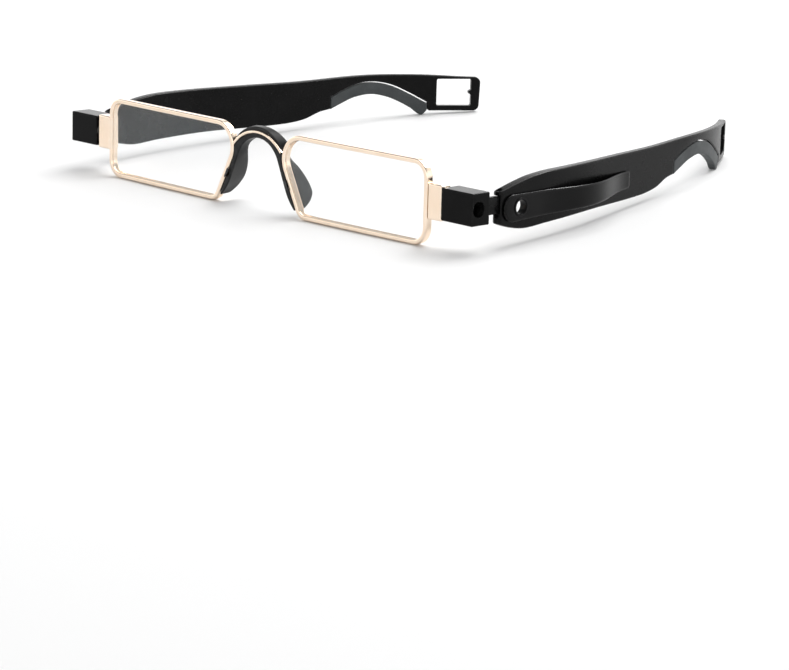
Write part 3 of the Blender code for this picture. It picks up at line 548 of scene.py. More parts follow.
def inset(outline, distance):
    """Move a closed outline inwards; it runs anticlockwise in its own plane."""
    if not distance:
        return list(outline)
    result = []
    count = len(outline)
    for i in range(count):
        a = Vector(outline[i - 1])
        b = Vector(outline[i])
        c = Vector(outline[(i + 1) % count])
        first = (b - a).normalized()
        second = (c - b).normalized()
        normal = Vector((-first.y - second.y, first.x + second.x)).normalized()
        result.append(tuple(b + normal * distance / max(0.5, normal.dot((-first.y, first.x)))))
    return result


def turned(profile, centre, axis, segments=64):
    """A body of revolution. profile is (along the axis, radius) from end to end."""
    rings = []
    for along, radius in profile:
        ring = []
        for i in range(segments):
            angle = 2 * math.pi * i / segments
            a = radius * math.cos(angle)
            b = radius * math.sin(angle)
            if axis == "X":
                ring.append((along, centre[0] + a, centre[1] + b))
            else:
                ring.append((centre[0] + a, centre[1] + b, along))
        rings.append(ring)
    return rings


def rounded_box(x, y, z, edge):
    """A box with rounded edges all round: rings along X that shrink at both ends."""
    steps = 4
    rings = []
    ends = [(x[0] + edge * (1 - math.cos(math.pi / 2 * i / steps)),
             edge * (1 - math.sin(math.pi / 2 * i / steps))) for i in range(steps + 1)]
    profile = ends + [(x[0] + x[1] - u, e) for u, e in ends[::-1]]
    for u, e in profile:
        corners = [(y[0] + e, z[0] + e), (y[1] - e, z[0] + e), (y[1] - e, z[1] - e),
                   (y[0] + e, z[1] - e)]
        ring = filleted([(a, b, max(edge - e, 0.02)) for a, b in corners], 22.5)
        rings.append([(u, a, b) for a, b in ring])
    return loft(rings)


def front_sag(x):
    """How far the curved front stands forward of its flat ends at x."""
    reach = min(abs(x) / SAG_END, 1.0)
    return FRONT_SAG * (1.0 - reach * reach)


# ---- rims, lenses
def rim_outline(longest=1.5):
    corners = [
        (RIM_NASAL - RIM_NASAL_SLANT * RIM_TOP, RIM_TOP, RIM_NASAL_TOP_RADIUS),
        (RIM_NASAL - RIM_NASAL_SLANT * RIM_BOTTOM, RIM_BOTTOM, RIM_NASAL_CORNER),
        (RIM_TEMPORAL, RIM_BOTTOM, RIM_CORNER),
        (RIM_TEMPORAL, RIM_TOP, RIM_CORNER),
    ]
    return subdivided(filleted(corners), longest)


def rim_middle():
    return RIM_FRONT + RIM_DEPTH / 2


def build_rim(side_name, side):
    front = RIM_FRONT
    back = RIM_FRONT + RIM_DEPTH
    middle = rim_middle()
    half = GROOVE_WIDTH / 2
    section = filleted([
        (0.0, front, RIM_EDGE), (RIM_WIDTH, front, RIM_INNER_EDGE),
        (RIM_WIDTH, middle - half, 0.05), (RIM_WIDTH - GROOVE_DEPTH, middle, 0.05),
        (RIM_WIDTH, middle + half, 0.05), (RIM_WIDTH, back, RIM_INNER_EDGE),
        (0.0, back, RIM_EDGE),
    ], 18.0)
    outline = rim_outline()
    moved = [inset(outline, n) for n, _ in section]
    rings = []
    for i in range(len(outline)):
        ring = []
        for ring_points, (_, y) in zip(moved, section):
            x, z = ring_points[i]
            ring.append((x, y - front_sag(x), z))
        rings.append(ring)
    mesh = mesh_from("rim", *mirrored(loft(rings, closed=True), side))
    rim = add("rim_metal_" + side_name, mesh, GOLD, "front", "rim_" + side_name)
    weight_normals(rim)


def build_lens(side_name, side):
    middle = rim_middle()
    half = LENS_EDGE / 2
    outline = rim_outline()
    apex = inset(outline, RIM_WIDTH - GROOVE_DEPTH + FIT_GAP)
    edge = inset(outline, RIM_WIDTH + FIT_GAP)
    count = len(edge)
    centre_x = sum(x for x, _ in edge) / count
    centre_z = sum(z for _, z in edge) / count
    shares = [1.0, 0.985] + [1.0 - 0.06 * k for k in range(1, 17)]

    def face_ring(share, y):
        ring = []
        for x, z in edge:
            u = centre_x + (x - centre_x) * share
            w = centre_z + (z - centre_z) * share
            rise = LENS_DOME * (1.0 - share * share)
            ring.append((u, y - front_sag(u) - rise, w))
        return ring

    rings = [face_ring(share, middle - half) for share in reversed(shares)]
    rings.append([(x, middle - front_sag(x), z) for x, z in apex])
    rings += [face_ring(share, middle + half) for share in shares]
    mesh = mesh_from("lens", *mirrored(loft(rings), side))
    add("lens_glass_" + side_name, mesh, LENS, "front", "lens_" + side_name)


# ---- bridge and nose saddle
def arc_point(top, radius, angle):
    return radius * math.sin(angle), top - radius + radius * math.cos(angle)


def distance_to(outline, point, heading):
    """How far a ray from the point runs along the heading before it meets the outline."""
    best = math.inf
    origin = Vector(point)
    for i in range(len(outline)):
        a = Vector(outline[i - 1])
        edge = Vector(outline[i]) - a
        cross = heading.x * edge.y - heading.y * edge.x
        if abs(cross) < 1e-12:
            continue
        reach = a - origin
        along = (reach.x * edge.y - reach.y * edge.x) / cross
        share = (reach.x * heading.y - reach.y * heading.x) / cross
        if along > 0 and 0 <= share <= 1:
            best = min(best, along)
    return best


def bridge_end_angle():
    outline = rim_outline()
    angle = 0.0
    inner = BRIDGE_RADIUS - BRIDGE_WIRE
    while angle < math.pi / 2:
        angle += 0.002
        reach = math.inf
        for radius in (BRIDGE_RADIUS, inner):
            x, z = arc_point(BRIDGE_TOP - BRIDGE_RADIUS + radius, radius, angle)
            heading = Vector((math.cos(angle), -math.sin(angle)))
            reach = min(reach, distance_to(outline, (x, z), heading))
        if reach < FIT_GAP:
            return angle
    return angle


def bridge_rings(grow, extra_angle):
    end = bridge_end_angle() + extra_angle
    steps = 72
    front = RIM_FRONT - BRIDGE_PROUD - grow
    back = RIM_FRONT - BRIDGE_PROUD + BRIDGE_DEPTH + grow
    outer = BRIDGE_RADIUS + grow
    inner = BRIDGE_RADIUS - BRIDGE_WIRE - grow
    section = filleted([(radius, y, BRIDGE_EDGE) for radius, y in (
        (outer, back), (outer, front), (inner, front), (inner, back))], 18.0)
    rings = []
    for i in range(steps + 1):
        angle = end * (2 * i / steps - 1)
        ring = []
        for radius, y in section:
            x, z = arc_point(BRIDGE_TOP - BRIDGE_RADIUS + radius, radius, angle)
            ring.append((x, y - front_sag(x), z))
        rings.append(ring)
    return rings


def build_bridge():
    mesh = mesh_from("bridge", *loft(bridge_rings(0.0, 0.0)))
    weight_normals(add("bridge_metal", mesh, GOLD, "front", "bridge_wire"))


def saddle_edge():
    crown = []
    steps = 14
    for i in range(steps + 1):
        angle = math.radians(SADDLE_ARCH_END * i / steps)
        crown.append(arc_point(SADDLE_ARCH_TOP, SADDLE_ARCH_RADIUS, angle))
    return crown[:-1] + smooth([crown[-1], *SADDLE_LEG], 0.6)


def read_profile(profile, share):
    """Value of a (share, value) profile, along a smooth curve through its points."""
    for i in range(len(profile) - 1):
        (a, low), (b, high) = profile[i], profile[i + 1]
        if share <= b:
            t = (share - a) / (b - a)
            before = profile[max(i - 1, 0)]
            after = profile[min(i + 2, len(profile) - 1)]
            slope_a = (high - before[1]) / (b - before[0]) * (b - a)
            slope_b = (after[1] - low) / (after[0] - a) * (b - a)
            return ((2 * t**3 - 3 * t**2 + 1) * low + (t**3 - 2 * t**2 + t) * slope_a
                    + (3 * t**2 - 2 * t**3) * high + (t**3 - t**2) * slope_b)
    return profile[-1][1]


def arc_width(point, heading, radius):
    origin = Vector(point) - Vector((0.0, SADDLE_TOP - radius))
    room = radius**2 - origin.length_squared
    if room < 0 or heading.y < math.cos(math.radians(SADDLE_ARCH_END)):
        return math.inf
    toward = origin.dot(heading)
    return -toward + math.sqrt(toward**2 + room)


def saddle_section(point, heading, along):
    front = RIM_FRONT + SADDLE_FRONT
    rim = distance_to(rim_outline(), point, heading) - SADDLE_GAP
    width = min(rim, arc_width(point, heading, SADDLE_FRONT_RADIUS))
    rear_width = min(rim, arc_width(point, heading, SADDLE_REAR_RADIUS))
    reach = read_profile(PAD_REACH, along)
    flare = max(0.0, read_profile(PAD_FLARE, along))
    behind_rim = RIM_DEPTH + SADDLE_GAP - SADDLE_FRONT
    turn = min(behind_rim, reach - 0.4)
    thick = min(PAD_THICKNESS, rear_width)
    share = max(0.0, min(1.0, (reach - turn - 0.4) / 1.5))
    rear = rear_width + (flare + thick - rear_width) * share
    section = [
        (0.2, 0.0), (0.05, 0.05), (0.0, 0.2), (0.1 * flare, 0.35 * turn),
        (0.35 * flare, turn), (flare, reach - 0.25), (flare + 0.12 * (rear - flare), reach),
        (rear - 0.12 * (rear - flare), reach - 0.02), (rear, reach - 0.3),
        (max(rear_width, 0.35 * flare + thick), turn + 0.02), (rear_width, turn - 0.03),
        (width, 0.2), (width - 0.05, 0.05), (width - 0.2, 0.0),
    ]
    ring = []
    for n, y in section:
        x = point[0] + heading.x * n
        z = point[1] + heading.y * n
        ring.append((x, front + y - front_sag(point[0]), z))
    return ring


def build_saddle():
    edge = saddle_edge()
    whole = sum(math.dist(a, b) for a, b in zip(edge, edge[1:]))
    length = 0.0
    rings = []
    for i, point in enumerate(edge):
        ahead = Vector(edge[min(i + 1, len(edge) - 1)])
        behind = Vector(edge[i - 1]) if i else Vector((-edge[1][0], edge[1][1]))
        run = (ahead - behind).normalized()
        heading = Vector((-run.y, run.x)) if i else Vector((0.0, 1.0))
        length += math.dist(point, edge[max(i - 1, 0)])
        rings.append(saddle_section(point, heading, length / whole))
    other = [[(-x, y, z) for x, y, z in ring] for ring in rings[1:]]
    mesh = mesh_from("saddle", *loft(other[::-1] + rings))
    saddle = add("nose_saddle_moulded", mesh, SADDLE_BLACK, "front", "nose_saddle")
    subdivide(saddle, 2)
    cut(saddle, *loft(bridge_rings(0.1, 0.25)))
    saddle.data.shade_smooth()
    saddle.data.set_sharp_from_angle(angle=math.radians(50))


def build_tab(side_name, side):
    outline = rim_outline()
    reach = []
    for z in (TAB_CENTRE - TAB_HEIGHT / 2, TAB_CENTRE + TAB_HEIGHT / 2):
        away = distance_to(outline, (0.0, z), Vector((1.0, 0.0)))
        reach.append((z, away - FIT_GAP))
    back = RIM_FRONT - 0.02
    (low, x_low), (high, x_high) = reach
    corners = [(x_low, low, 0.02), (x_high, high, 0.02), (x_high - TAB_REACH, high - 0.25, 0.2),
               (x_low - TAB_REACH, low + 0.25, 0.2)]
    ring = filleted(corners, 22.5)
    rings = []
    for depth, shrink in ((TAB_THICKNESS, TAB_EDGE), (TAB_THICKNESS - 0.04, 0.05),
                          (TAB_THICKNESS - TAB_EDGE, 0.0), (0.0, 0.0)):
        turned_in = ring if not shrink else inset(ring[::-1], shrink)[::-1]
        rings.append([(x, back - depth - front_sag(x), z) for x, z in turned_in])
    mesh = mesh_from("tab", *mirrored(loft(rings), side))
    add("saddle_tab_metal_" + side_name, mesh, DARK_STEEL, "front", "saddle_tab_" + side_name)


# ---- end plate, block, swivel
def plate_inner():
    return RIM_TEMPORAL + FIT_GAP


def plate_outer():
    return plate_inner() + PLATE_WIDTH


def recess_floor():
    return block_inner() + RECESS_FLOOR


def pin_x():
    return TEMPLE_OUTER - TEMPLE_THICKNESS / 2


def lock_screw_centre():
    return plate_inner() + LOCK_SCREW_HEAD / 2 + 0.25, PLATE_FRONT + PLATE_DEPTH / 2


def build_plate(side_name, side):
    half = PLATE_HEIGHT / 2
    shape = rounded_box((plate_inner(), plate_outer()),
                        (PLATE_FRONT, PLATE_FRONT + PLATE_DEPTH), (-half, half),
                        PLATE_EDGE)
    mesh = mesh_from("plate", *mirrored(shape, side))
    plate = add("end_plate_metal_" + side_name, mesh, GOLD, "front", "end_plate_" + side_name)
    bore = SCREW_SHAFT / 2 + TURN_GAP / 2
    drill(plate, side, [(plate_outer() - SCREW_THREAD - 0.2, bore), (plate_outer() + 1, bore)],
          (SWIVEL_Y, 0.0), "X")
    head = LOCK_SCREW_HEAD / 2 + TURN_GAP / 2
    shaft = LOCK_SCREW / 2 + TURN_GAP / 2
    seat = -half + 0.6
    drill(plate, side, [(-half - 1, head), (seat, head), (seat, shaft),
                        (LOCK_SCREW_LENGTH - half + 0.2, shaft)], lock_screw_centre(), "Z", 48)
    weight_normals(plate)


def slot_across(item, side, x, y, z):
    """A screwdriver slot, cut with a plain box."""
    ring = [(y[0], z[0]), (y[1], z[0]), (y[1], z[1]), (y[0], z[1])]
    cut(item, *mirrored(loft([[(u, a, b) for a, b in ring] for u in x]), side))


def build_lock_screw(side_name, side):
    low = -PLATE_HEIGHT / 2
    head = LOCK_SCREW_HEAD / 2
    shaft = LOCK_SCREW / 2
    centre = lock_screw_centre()
    profile = [(low + 0.05, head - 0.14), (low + 0.07, head - 0.07), (low + 0.14, head),
               (low + 0.55, head), (low + 0.55, shaft), (low + LOCK_SCREW_LENGTH - 0.2, shaft),
               (low + LOCK_SCREW_LENGTH, shaft - 0.2)]
    mesh = mesh_from("lock", *mirrored(loft(turned(profile, centre, "Z", 48)), side))
    screw = add("rim_screw_metal_" + side_name, mesh, GOLD, "front", "rim_screw_" + side_name)
    half = SMALL_SLOT / 2
    slot_across(screw, side, (centre[0] - half, centre[0] + half),
                (centre[1] - 1, centre[1] + 1), (low - 0.5, low + 0.28))


def build_swivel_screw(side_name, side):
    shaft = SCREW_SHAFT / 2
    head = SCREW_HEAD / 2
    under = recess_floor() + SPRING_HEIGHT + 0.1
    top = under + SCREW_HEAD_HEIGHT
    start = plate_outer() - SCREW_THREAD
    profile = [(start, shaft - 0.2), (start + 0.2, shaft), (under, shaft), (under, head - 0.1),
               (under + 0.1, head), (top - 0.25, head), (top - 0.08, head - 0.07),
               (top, head - 0.25)]
    mesh = mesh_from("screw", *mirrored(loft(turned(profile, (SWIVEL_Y, 0.0), "X")), side))
    screw = add("swivel_screw_metal_" + side_name, mesh, DARK_STEEL, "front",
                "swivel_screw_" + side_name)
    half = SCREW_SLOT / 2
    slot_across(screw, side, (top - 0.45, top + 1), (SWIVEL_Y - half, SWIVEL_Y + half),
                (-head - 1, head + 1))


def build_washers(side_name, side):
    low = recess_floor() + 0.05
    rise = SPRING_HEIGHT - 0.3
    inner = SCREW_SHAFT / 2 + TURN_GAP
    outer = SCREW_HEAD / 2
    section = filleted([(low, outer, 0.06), (low + 0.3, outer, 0.06),
                        (low + rise + 0.3, inner, 0.06), (low + rise, inner, 0.06)], 30.0)
    shape = loft(turned(section, (SWIVEL_Y, 0.0), "X"), closed=True)
    add("spring_washer_metal_" + side_name, mesh_from("spring", *mirrored(shape, side)), STEEL,
        "front", "spring_washer_" + side_name)
    low = plate_outer() + 0.05
    high = block_inner() - 0.05
    section = filleted([(low, 1.8, 0.05), (high, 1.8, 0.05), (high, inner, 0.05),
                        (low, inner, 0.05)], 30.0)
    shape = loft(turned(section, (SWIVEL_Y, 0.0), "X"), closed=True)
    add("friction_washer_nylon_" + side_name, mesh_from("friction", *mirrored(shape, side)),
        NYLON, "front", "friction_washer_" + side_name)


def build_block(side_name, side):
    half = BLOCK_HEIGHT / 2
    rear = BLOCK_FRONT + BLOCK_DEPTH
    shape = rounded_box((block_inner(), HALF_WIDTH), (BLOCK_FRONT, rear), (-half, half),
                        BLOCK_EDGE)
    block = add("block_moulded_" + side_name, mesh_from("block", *mirrored(shape, side)),
                BLOCK_BLACK, "block_" + side_name, "swivel_block_" + side_name)
    round_end = TONGUE_THICKNESS / 2
    outline = [(pin_x() - round_end, rear - 1.0), (pin_x() + round_end, rear - 1.0)]
    for i in range(25):
        angle = math.pi * i / 24
        outline.append((pin_x() + round_end * math.cos(angle),
                        PIN_Y + round_end * math.sin(angle)))
    high = TONGUE_HEIGHT / 2
    rings = []
    for z, shrink in ((-high, 0.12), (-high + 0.035, 0.035), (-high + 0.12, 0.0),
                      (high - 0.12, 0.0), (high - 0.035, 0.035), (high, 0.12)):
        rings.append([(x, y, z) for x, y in inset(outline, shrink)])
    cut(block, *mirrored(loft(rings), side), "UNION")
    bore = SCREW_SHAFT / 2 + TURN_GAP
    wide = RECESS / 2
    floor = recess_floor()
    drill(block, side, [(block_inner() - 1, bore), (floor, bore), (floor, wide - 0.1),
                        (floor + 0.1, wide), (HALF_WIDTH - 0.06, wide),
                        (HALF_WIDTH + 0.2, wide + 0.26)], (SWIVEL_Y, 0.0), "X")
    radius = PIN / 2 + TURN_GAP / 2
    drill(block, side, [(-half, radius), (half, radius)], (pin_x(), PIN_Y), "Z", 32)
    weight_normals(block)


def build_hinge_pin(side_name, side):
    shaft = PIN / 2
    head = PIN_HEAD / 2
    profile = [(PIN_LOW, shaft - 0.1), (PIN_LOW + 0.1, shaft), (PIN_TOP - PIN_HEAD_HEIGHT, shaft),
               (PIN_TOP - PIN_HEAD_HEIGHT, head), (PIN_TOP - 0.14, head),
               (PIN_TOP - 0.04, head - 0.05), (PIN_TOP, head - 0.16)]
    mesh = mesh_from("pin", *mirrored(loft(turned(profile, (pin_x(), PIN_Y), "Z", 40)), side))
    pin = add("hinge_pin_metal_" + side_name, mesh, DARK_STEEL, "block_" + side_name,
              "hinge_pin_" + side_name)
    half = SMALL_SLOT / 2
    slot_across(pin, side, (pin_x() - half, pin_x() + half), (PIN_Y - 1, PIN_Y + 1),
                (PIN_TOP - 0.18, PIN_TOP + 0.5))


# ---- temples
def temple_angle(s):
    toe = min(max((s - STRAIGHT) / TOE_ARC, 0.0), 1.0)
    tail = min(max((s - STRAIGHT - TOE_ARC - MIDDLE) / TAIL_ARC, 0.0), 1.0)
    return math.radians(TOE_IN * toe + TAIL_BEND * tail)


PATH_STEP = 0.25


def temple_path():
    """Points of the temple's outer face in plan, every PATH_STEP of its length."""
    x = TEMPLE_OUTER
    y = PATH_START
    points = [(x, y)]
    for k in range(math.ceil((TEMPLE_LENGTH + 2) / PATH_STEP)):
        angle = temple_angle((k + 0.5) * PATH_STEP)
        x -= math.sin(angle) * PATH_STEP
        y += math.cos(angle) * PATH_STEP
        points.append((x, y))
    return points


PATH = temple_path()


def temple_point(s, offset):
    """A point `offset` out from the temple's outer face, in plan."""
    k = min(max(int(s / PATH_STEP), 0), len(PATH) - 2)
    t = s / PATH_STEP - k
    angle = temple_angle(s)
    x = PATH[k][0] + (PATH[k + 1][0] - PATH[k][0]) * t
    y = PATH[k][1] + (PATH[k + 1][1] - PATH[k][1]) * t
    return x + math.cos(angle) * offset, y + math.sin(angle) * offset


def temple_thickness(s):
    share = min(max((s - STRAIGHT) / (PAD_START - STRAIGHT), 0.0), 1.0)
    return TEMPLE_THICKNESS + (TIP_THICKNESS - TEMPLE_THICKNESS) * share


def front_round(s):
    radius = TEMPLE_THICKNESS / 2
    ahead = max(PIN_Y - PATH_START - s, 0.0)
    return radius - math.sqrt(max(radius**2 - ahead**2, 0.0))


def temple_outside(s):
    return -front_round(s)


def temple_inside(s):
    return front_round(s) - temple_thickness(s)


def circle(centre, radius, segments=64):
    points = []
    for i in range(segments):
        angle = 2 * math.pi * i / segments
        points.append((centre[0] + radius * math.cos(angle),
                       centre[1] + radius * math.sin(angle)))
    return points


def bent_plate(name, outline, holes, outside, inside, stations, side, edge, hole_edge,
               spread=1.0):
    """A plate with rounded edges, bent along the temple's path.

    Every boundary is drawn as rings from the outer face round to the inner one, the two
    faces are filled between the first and last rings, and the whole is then bent.
    outside(s) and inside(s) are the faces' offsets from the path, and spread is how much
    wider than `edge` the rounding is.
    """
    steps = 4
    quarter = [(1 - math.sin(math.pi / 2 * k / steps), 1 - math.cos(math.pi / 2 * k / steps))
               for k in range(steps + 1)]
    shape = bmesh.new()
    depth = shape.verts.layers.float.new("depth")      # from the nearer face, in mm
    back = shape.verts.layers.float.new("back")        # 1 when that face is the inner one
    faces_edges = ([], [])
    for number, ring in enumerate([outline, *holes]):
        radius = hole_edge if number else edge
        reach = -radius if number else radius * spread
        rows = []
        for is_back, half in ((0.0, quarter), (1.0, quarter[::-1])):
            for shrink, down in half:
                moved = inset(ring, reach * shrink)
                row = []
                for s, z in moved:
                    vert = shape.verts.new((s, is_back, z))
                    vert[depth] = radius * down
                    vert[back] = is_back
                    row.append(vert)
                rows.append(row)
        count = len(ring)
        for upper, lower in zip(rows, rows[1:]):
            for j in range(count):
                k = (j + 1) % count
                shape.faces.new((upper[j], upper[k], lower[k], lower[j]))
        for row, kept in ((rows[0], faces_edges[0]), (rows[-1], faces_edges[1])):
            for j in range(count):
                kept.append(shape.edges.get((row[j], row[(j + 1) % count])))
    for kept, is_back in zip(faces_edges, (0.0, 1.0)):
        made = bmesh.ops.triangle_fill(shape, use_beauty=True, edges=kept)
        for item in made["geom"]:
            if isinstance(item, bmesh.types.BMFace):
                for vert in item.verts:
                    vert[back] = is_back
    for s in stations:
        everything = shape.verts[:] + shape.edges[:] + shape.faces[:]
        bmesh.ops.bisect_plane(shape, geom=everything, dist=1e-4,
                               plane_co=(s, 0.0, 0.0), plane_no=(1.0, 0.0, 0.0))
    for vert in shape.verts:
        s = vert.co.x
        if vert[back] > 0.5:
            offset = inside(s) + vert[depth]
        else:
            offset = outside(s) - vert[depth]
        x, y = temple_point(s, offset)
        vert.co = to_row((side * x, y, vert.co.z))
    mesh = bpy.data.meshes.new(name)
    finish_mesh(shape, mesh)
    return mesh


def pad_outside_curve():
    return smooth(PAD_OUTSIDE, 0.7)


def temple_outline():
    """Side outline of a temple, (s, z), anticlockwise from the front's top corner."""
    top = smooth(TEMPLE_TOP, 0.9)
    bottom = smooth(TEMPLE_BOTTOM, 0.9)
    arch = pad_outside_curve()
    lift = PAD_GAP
    arch_edge = [(s, z + lift) for s, z in arch[1:-1]]
    pad_end = PAD_END + PAD_GAP
    tail = filleted([
        (pad_end, LOOP_FOOT + 0.1, 0.5),
        (TEMPLE_LENGTH - 0.4, LOOP_FOOT, TAIL_CORNER),
        (TEMPLE_LENGTH, TEMPLE_TOP[-1][1] - 0.15, TAIL_CORNER),
        (pad_end, TEMPLE_TOP[-1][1], 0.5),
    ], 8.0)
    tail = [(s, z) for s, z in tail if s > pad_end + 0.8 and (z < 3 or s > 111.0)]
    front = [(PAD_START - PAD_GAP, arch[0][1] + lift)]
    rear = [(pad_end, arch[-1][1] + lift), (pad_end, LOOP_FOOT + 0.4)]
    outline = top[::-1] + bottom[:-1]
    outline += [(PAD_START - PAD_GAP, bottom[-1][1])] + front + arch_edge + rear
    outline += [(pad_end + 0.5, LOOP_FOOT + 0.03)] + tail
    return subdivided(outline, 1.2)


def loop_hole():
    end = LOOP_START + LOOP_LENGTH
    middle = (LOOP_TOP + LOOP_BOTTOM) / 2
    ring = filleted([
        (LOOP_START, LOOP_BOTTOM, LOOP_CORNER),
        (end, LOOP_BOTTOM, LOOP_CORNER),
        (end, middle - LOOP_NUB, 0.15),
        (end - LOOP_NUB, middle - 0.25, 0.15),
        (end - LOOP_NUB, middle + 0.25, 0.15),
        (end, middle + LOOP_NUB, 0.15),
        (end, LOOP_TOP, LOOP_CORNER),
        (LOOP_START, LOOP_TOP, LOOP_CORNER),
    ], 15.0)
    return subdivided(ring, 1.2)


def stations_between(first, last, spacing):
    count = max(1, round((last - first) / spacing))
    return [first + (last - first) * i / count for i in range(1, count)]


def eyelet_hole(radius):
    return circle((EYELET_S, EYELET_Z), radius)


def build_temple(side_name, side):
    has_clip = side_name == "left"
    holes = [loop_hole()]
    if has_clip:
        holes.append(eyelet_hole(EYELET_BORE / 2 + EYELET_WALL + FIT_GAP))
    pin_s = PIN_Y - PATH_START
    stations = [pin_s - ahead for ahead in (0.9, 0.8, 0.65, 0.45, 0.2, 0.0)]
    stations += stations_between(STRAIGHT - 1, TEMPLE_LENGTH - 1.5, 1.1)
    mesh = bent_plate("temple", temple_outline(), holes, temple_outside, temple_inside,
                      stations, side, TEMPLE_EDGE, 0.2)
    temple = add("temple_moulded_" + side_name, mesh, TEMPLE_BLACK, "arm_" + side_name,
                 "temple_" + side_name)
    x = pin_x()
    inner = TEMPLE_OUTER - TEMPLE_THICKNESS
    reach = TONGUE_THICKNESS / 2
    high = TONGUE_HEIGHT / 2 + TONGUE_GAP
    slot_across(temple, side, (inner - 1, x + reach + TONGUE_GAP),
                (PATH_START - 1, PIN_Y + reach + 2 * TONGUE_GAP), (-high, high))
    slot_across(temple, side, (x, TEMPLE_OUTER + 1), (PATH_START - 1, PIN_Y - reach),
                (-high, high))
    shaft = PIN / 2 + TURN_GAP
    head = PIN_HEAD / 2 + TURN_GAP
    seat = PIN_TOP - PIN_HEAD_HEIGHT - TURN_GAP
    drill(temple, side, [(PIN_LOW - 0.1, shaft), (seat, shaft), (seat, head), (5.0, head)],
          (x, PIN_Y), "Z", 48)
    if has_clip:
        wide = EYELET_SEAT / 2
        floor = inner + EYELET_SEAT_DEPTH
        drill(temple, side, [(inner - 1, wide + 1.1), (inner + 0.1, wide),
                             (floor - 0.1, wide), (floor, wide - 0.1)],
              (PATH_START + EYELET_S, EYELET_Z), "X")
    weight_normals(temple)


def build_ear_pad(side_name, side):
    inside = smooth(PAD_INSIDE, 0.7)
    foot = smooth([inside[-1], *PAD_FOOT, (PAD_END - 0.05, -2.7)], 0.4)
    arch = [(s, z - PAD_SHRINK) for s, z in pad_outside_curve()[::-1]]
    outline = arch + inside + foot[1:]
    stations = stations_between(PAD_START, PAD_END, 1.0)
    mesh = bent_plate("pad", outline, [], temple_outside, temple_inside, stations, side,
                      PAD_EDGE, 0.2)
    pad = add("ear_pad_rubber_" + side_name, mesh, RUBBER, "arm_" + side_name,
              "ear_pad_" + side_name)
    weight_normals(pad)


# ---- pocket clip
def clip_bow(s):
    share = min(max((s - CLIP_BOW_START) / (CLIP_BOW_END - CLIP_BOW_START), 0.0), 1.0)
    return CLIP_SEAT + CLIP_BOW * math.sin(math.pi * share) ** 2


def build_clip():
    outline = []
    for i in range(37):
        angle = math.pi / 2 + math.pi * i / 36
        outline.append((CLIP_HEAD_S + CLIP_RADIUS * math.cos(angle),
                        CLIP_HEAD_Z + CLIP_RADIUS * math.sin(angle)))
    tail = filleted([
        (CLIP_HEAD_S, CLIP_HEAD_Z - CLIP_RADIUS, 0.5),
        (CLIP_END, CLIP_TAIL_BOTTOM, CLIP_TAIL_CORNER),
        (CLIP_END, CLIP_TAIL_TOP, CLIP_TAIL_CORNER),
        (CLIP_HEAD_S, CLIP_HEAD_Z + CLIP_RADIUS, 0.5),
    ], 12.0)
    outline += [point for point in tail if point[0] > CLIP_HEAD_S + 5]
    hole = eyelet_hole(EYELET_BORE / 2 + EYELET_WALL + FIT_GAP)
    stations = stations_between(CLIP_BOW_START - 1, CLIP_END - 1, 0.8)
    mesh = bent_plate("clip", subdivided(outline, 1.2), [hole],
                      lambda s: clip_bow(s) + CLIP_THICKNESS, clip_bow, stations, 1.0,
                      CLIP_EDGE, 0.12, CLIP_CROWN)
    clip = add("pocket_clip_moulded", mesh, CLIP_BLACK, "arm_left", "pocket_clip")
    weight_normals(clip)


def build_eyelet():
    bore = EYELET_BORE / 2
    outer = bore + EYELET_WALL
    flange = EYELET_FLANGE / 2
    high = TEMPLE_OUTER + CLIP_SEAT + CLIP_THICKNESS + 0.05
    low = TEMPLE_OUTER - TEMPLE_THICKNESS + EYELET_SEAT_DEPTH - 0.05
    lip = EYELET_FLANGE_HEIGHT
    centre = (PATH_START + EYELET_S, EYELET_Z)
    section = filleted([
        (low - lip, bore, 0.07), (low - lip, flange, 0.07), (low, flange, 0.05),
        (low, outer, 0.03), (high, outer, 0.03), (high, flange, 0.05),
        (high + lip, flange, 0.07), (high + lip, bore, 0.07),
    ], 22.5)
    shape = loft(turned(section, centre, "X"), closed=True)
    add("clip_eyelet_rolled", mesh_from("eyelet", *shape), CLIP_BLACK, "arm_left",
        "clip_eyelet")


# ---- the studio
HORIZON_LIGHT = 1.6          # the room's brightness up to HORIZON_TOP
CEILING_LIGHT = 0.35         # and from CEILING_LOW up; both are heights on a unit sphere
HORIZON_TOP = 0.3
CEILING_LOW = 0.6
SOFTBOX = ((0.0, 0.45, 0.9), (0.8, 1.0), 10.0)      # place and size in m, power in W
TUBE = ((0.25, 0.8, 0.95), (0.9, 0.12), 14.0)       # seen in reflections only
FLOOR_REACH = 6.0
CAMERA_ANGLES = (45.831, 12.835, 1.537)             # azimuth, elevation and roll
CAMERA_DISTANCE = 808.383                           # mm
CAMERA_TARGET = (-6.029, 50.0, -48.742)
CAMERA_LENS = 148.62


def area_light(name, place, size, power):
    """A rectangular light that points at the origin."""
    data = bpy.data.lights.new(name, "AREA")
    data.shape = "RECTANGLE"
    data.size, data.size_y = size
    data.energy = power
    item = bpy.data.objects.new(name, data)
    bpy.context.scene.collection.objects.link(item)
    item.location = place
    item.rotation_euler = (-Vector(place)).to_track_quat("-Z", "Y").to_euler()
    return item


def build_floor():
    mesh = bpy.data.meshes.new("floor")
    reach = FLOOR_REACH
    mesh.from_pydata([(-reach, -reach, 0), (reach, -reach, 0), (reach, reach, 0),
                      (-reach, reach, 0)], [], [(0, 1, 2, 3)])
    floor = bpy.data.objects.new("floor", mesh)
    bpy.context.scene.collection.objects.link(floor)
    n = Nodes("floor_white")
    n.link(n.ramp(n.noise(2.0, 2.0), (0.855, 0.855, 0.855), (0.865, 0.865, 0.865)),
           n.shader.inputs["Base Color"])
    n.set(Roughness=0.6, Specular_IOR_Level=0.3)
    floor.data.materials.append(n.material)


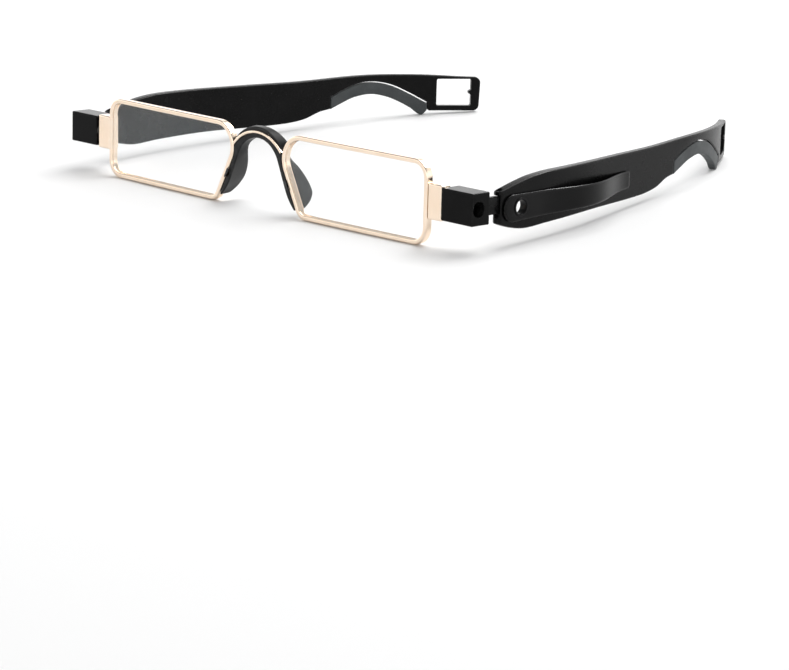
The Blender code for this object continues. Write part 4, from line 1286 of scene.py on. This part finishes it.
def build_camera():
    """The photograph's viewpoint, worked out in the drawing's frame."""
    azimuth, elevation, roll = (math.radians(a) for a in CAMERA_ANGLES)
    back = Vector((math.sin(azimuth) * math.cos(elevation),
                   -math.cos(azimuth) * math.cos(elevation), math.sin(elevation)))
    place = Vector(CAMERA_TARGET) + back * CAMERA_DISTANCE
    right = (-back).cross(Vector((0.0, 0.0, 1.0))).normalized()
    up = right.cross(-back)
    right, up = (right * math.cos(roll) + up * math.sin(roll),
                 up * math.cos(roll) - right * math.sin(roll))
    data = bpy.data.cameras.new("camera")
    data.lens = CAMERA_LENS
    data.sensor_width = 36.0
    data.clip_start = 0.05
    data.clip_end = 50.0
    camera = bpy.data.objects.new("camera", data)
    bpy.context.scene.collection.objects.link(camera)
    origin = to_row((0.0, 0.0, 0.0))
    axes = [to_row(v) - origin for v in (right, up, back)]
    matrix = Matrix([a.normalized() for a in axes]).transposed().to_4x4()
    matrix.translation = to_row(place)
    camera.matrix_world = matrix
    bpy.context.scene.camera = camera


def build_studio():
    scene = bpy.context.scene
    scene.view_settings.view_transform = "Standard"
    world = bpy.data.worlds.new("studio")
    world.use_nodes = True
    scene.world = world
    tree = world.node_tree
    direction = tree.nodes.new("ShaderNodeTexCoord").outputs["Generated"]
    split = tree.nodes.new("ShaderNodeSeparateXYZ")
    tree.links.new(direction, split.inputs["Vector"])
    height = tree.nodes.new("ShaderNodeMapRange")
    height.interpolation_type = "SMOOTHSTEP"
    height.inputs["From Min"].default_value = HORIZON_TOP
    height.inputs["From Max"].default_value = CEILING_LOW
    height.inputs["To Min"].default_value = HORIZON_LIGHT
    height.inputs["To Max"].default_value = CEILING_LIGHT
    tree.links.new(split.outputs["Z"], height.inputs["Value"])
    tree.links.new(height.outputs["Result"], tree.nodes["Background"].inputs["Strength"])
    tree.nodes["Background"].inputs["Color"].default_value = (1.0, 1.0, 1.0, 1.0)
    area_light("softbox", *SOFTBOX)
    area_light("tube", *TUBE).visible_diffuse = False
    build_floor()


# ---- put together
build_camera()
build_studio()
for side_name, side in SIDES:
    for build in (build_rim, build_lens, build_tab, build_plate, build_lock_screw,
                  build_swivel_screw, build_washers, build_block, build_hinge_pin,
                  build_temple, build_ear_pad):
        build(side_name, side)
build_clip()
build_eyelet()
build_bridge()
build_saddle()
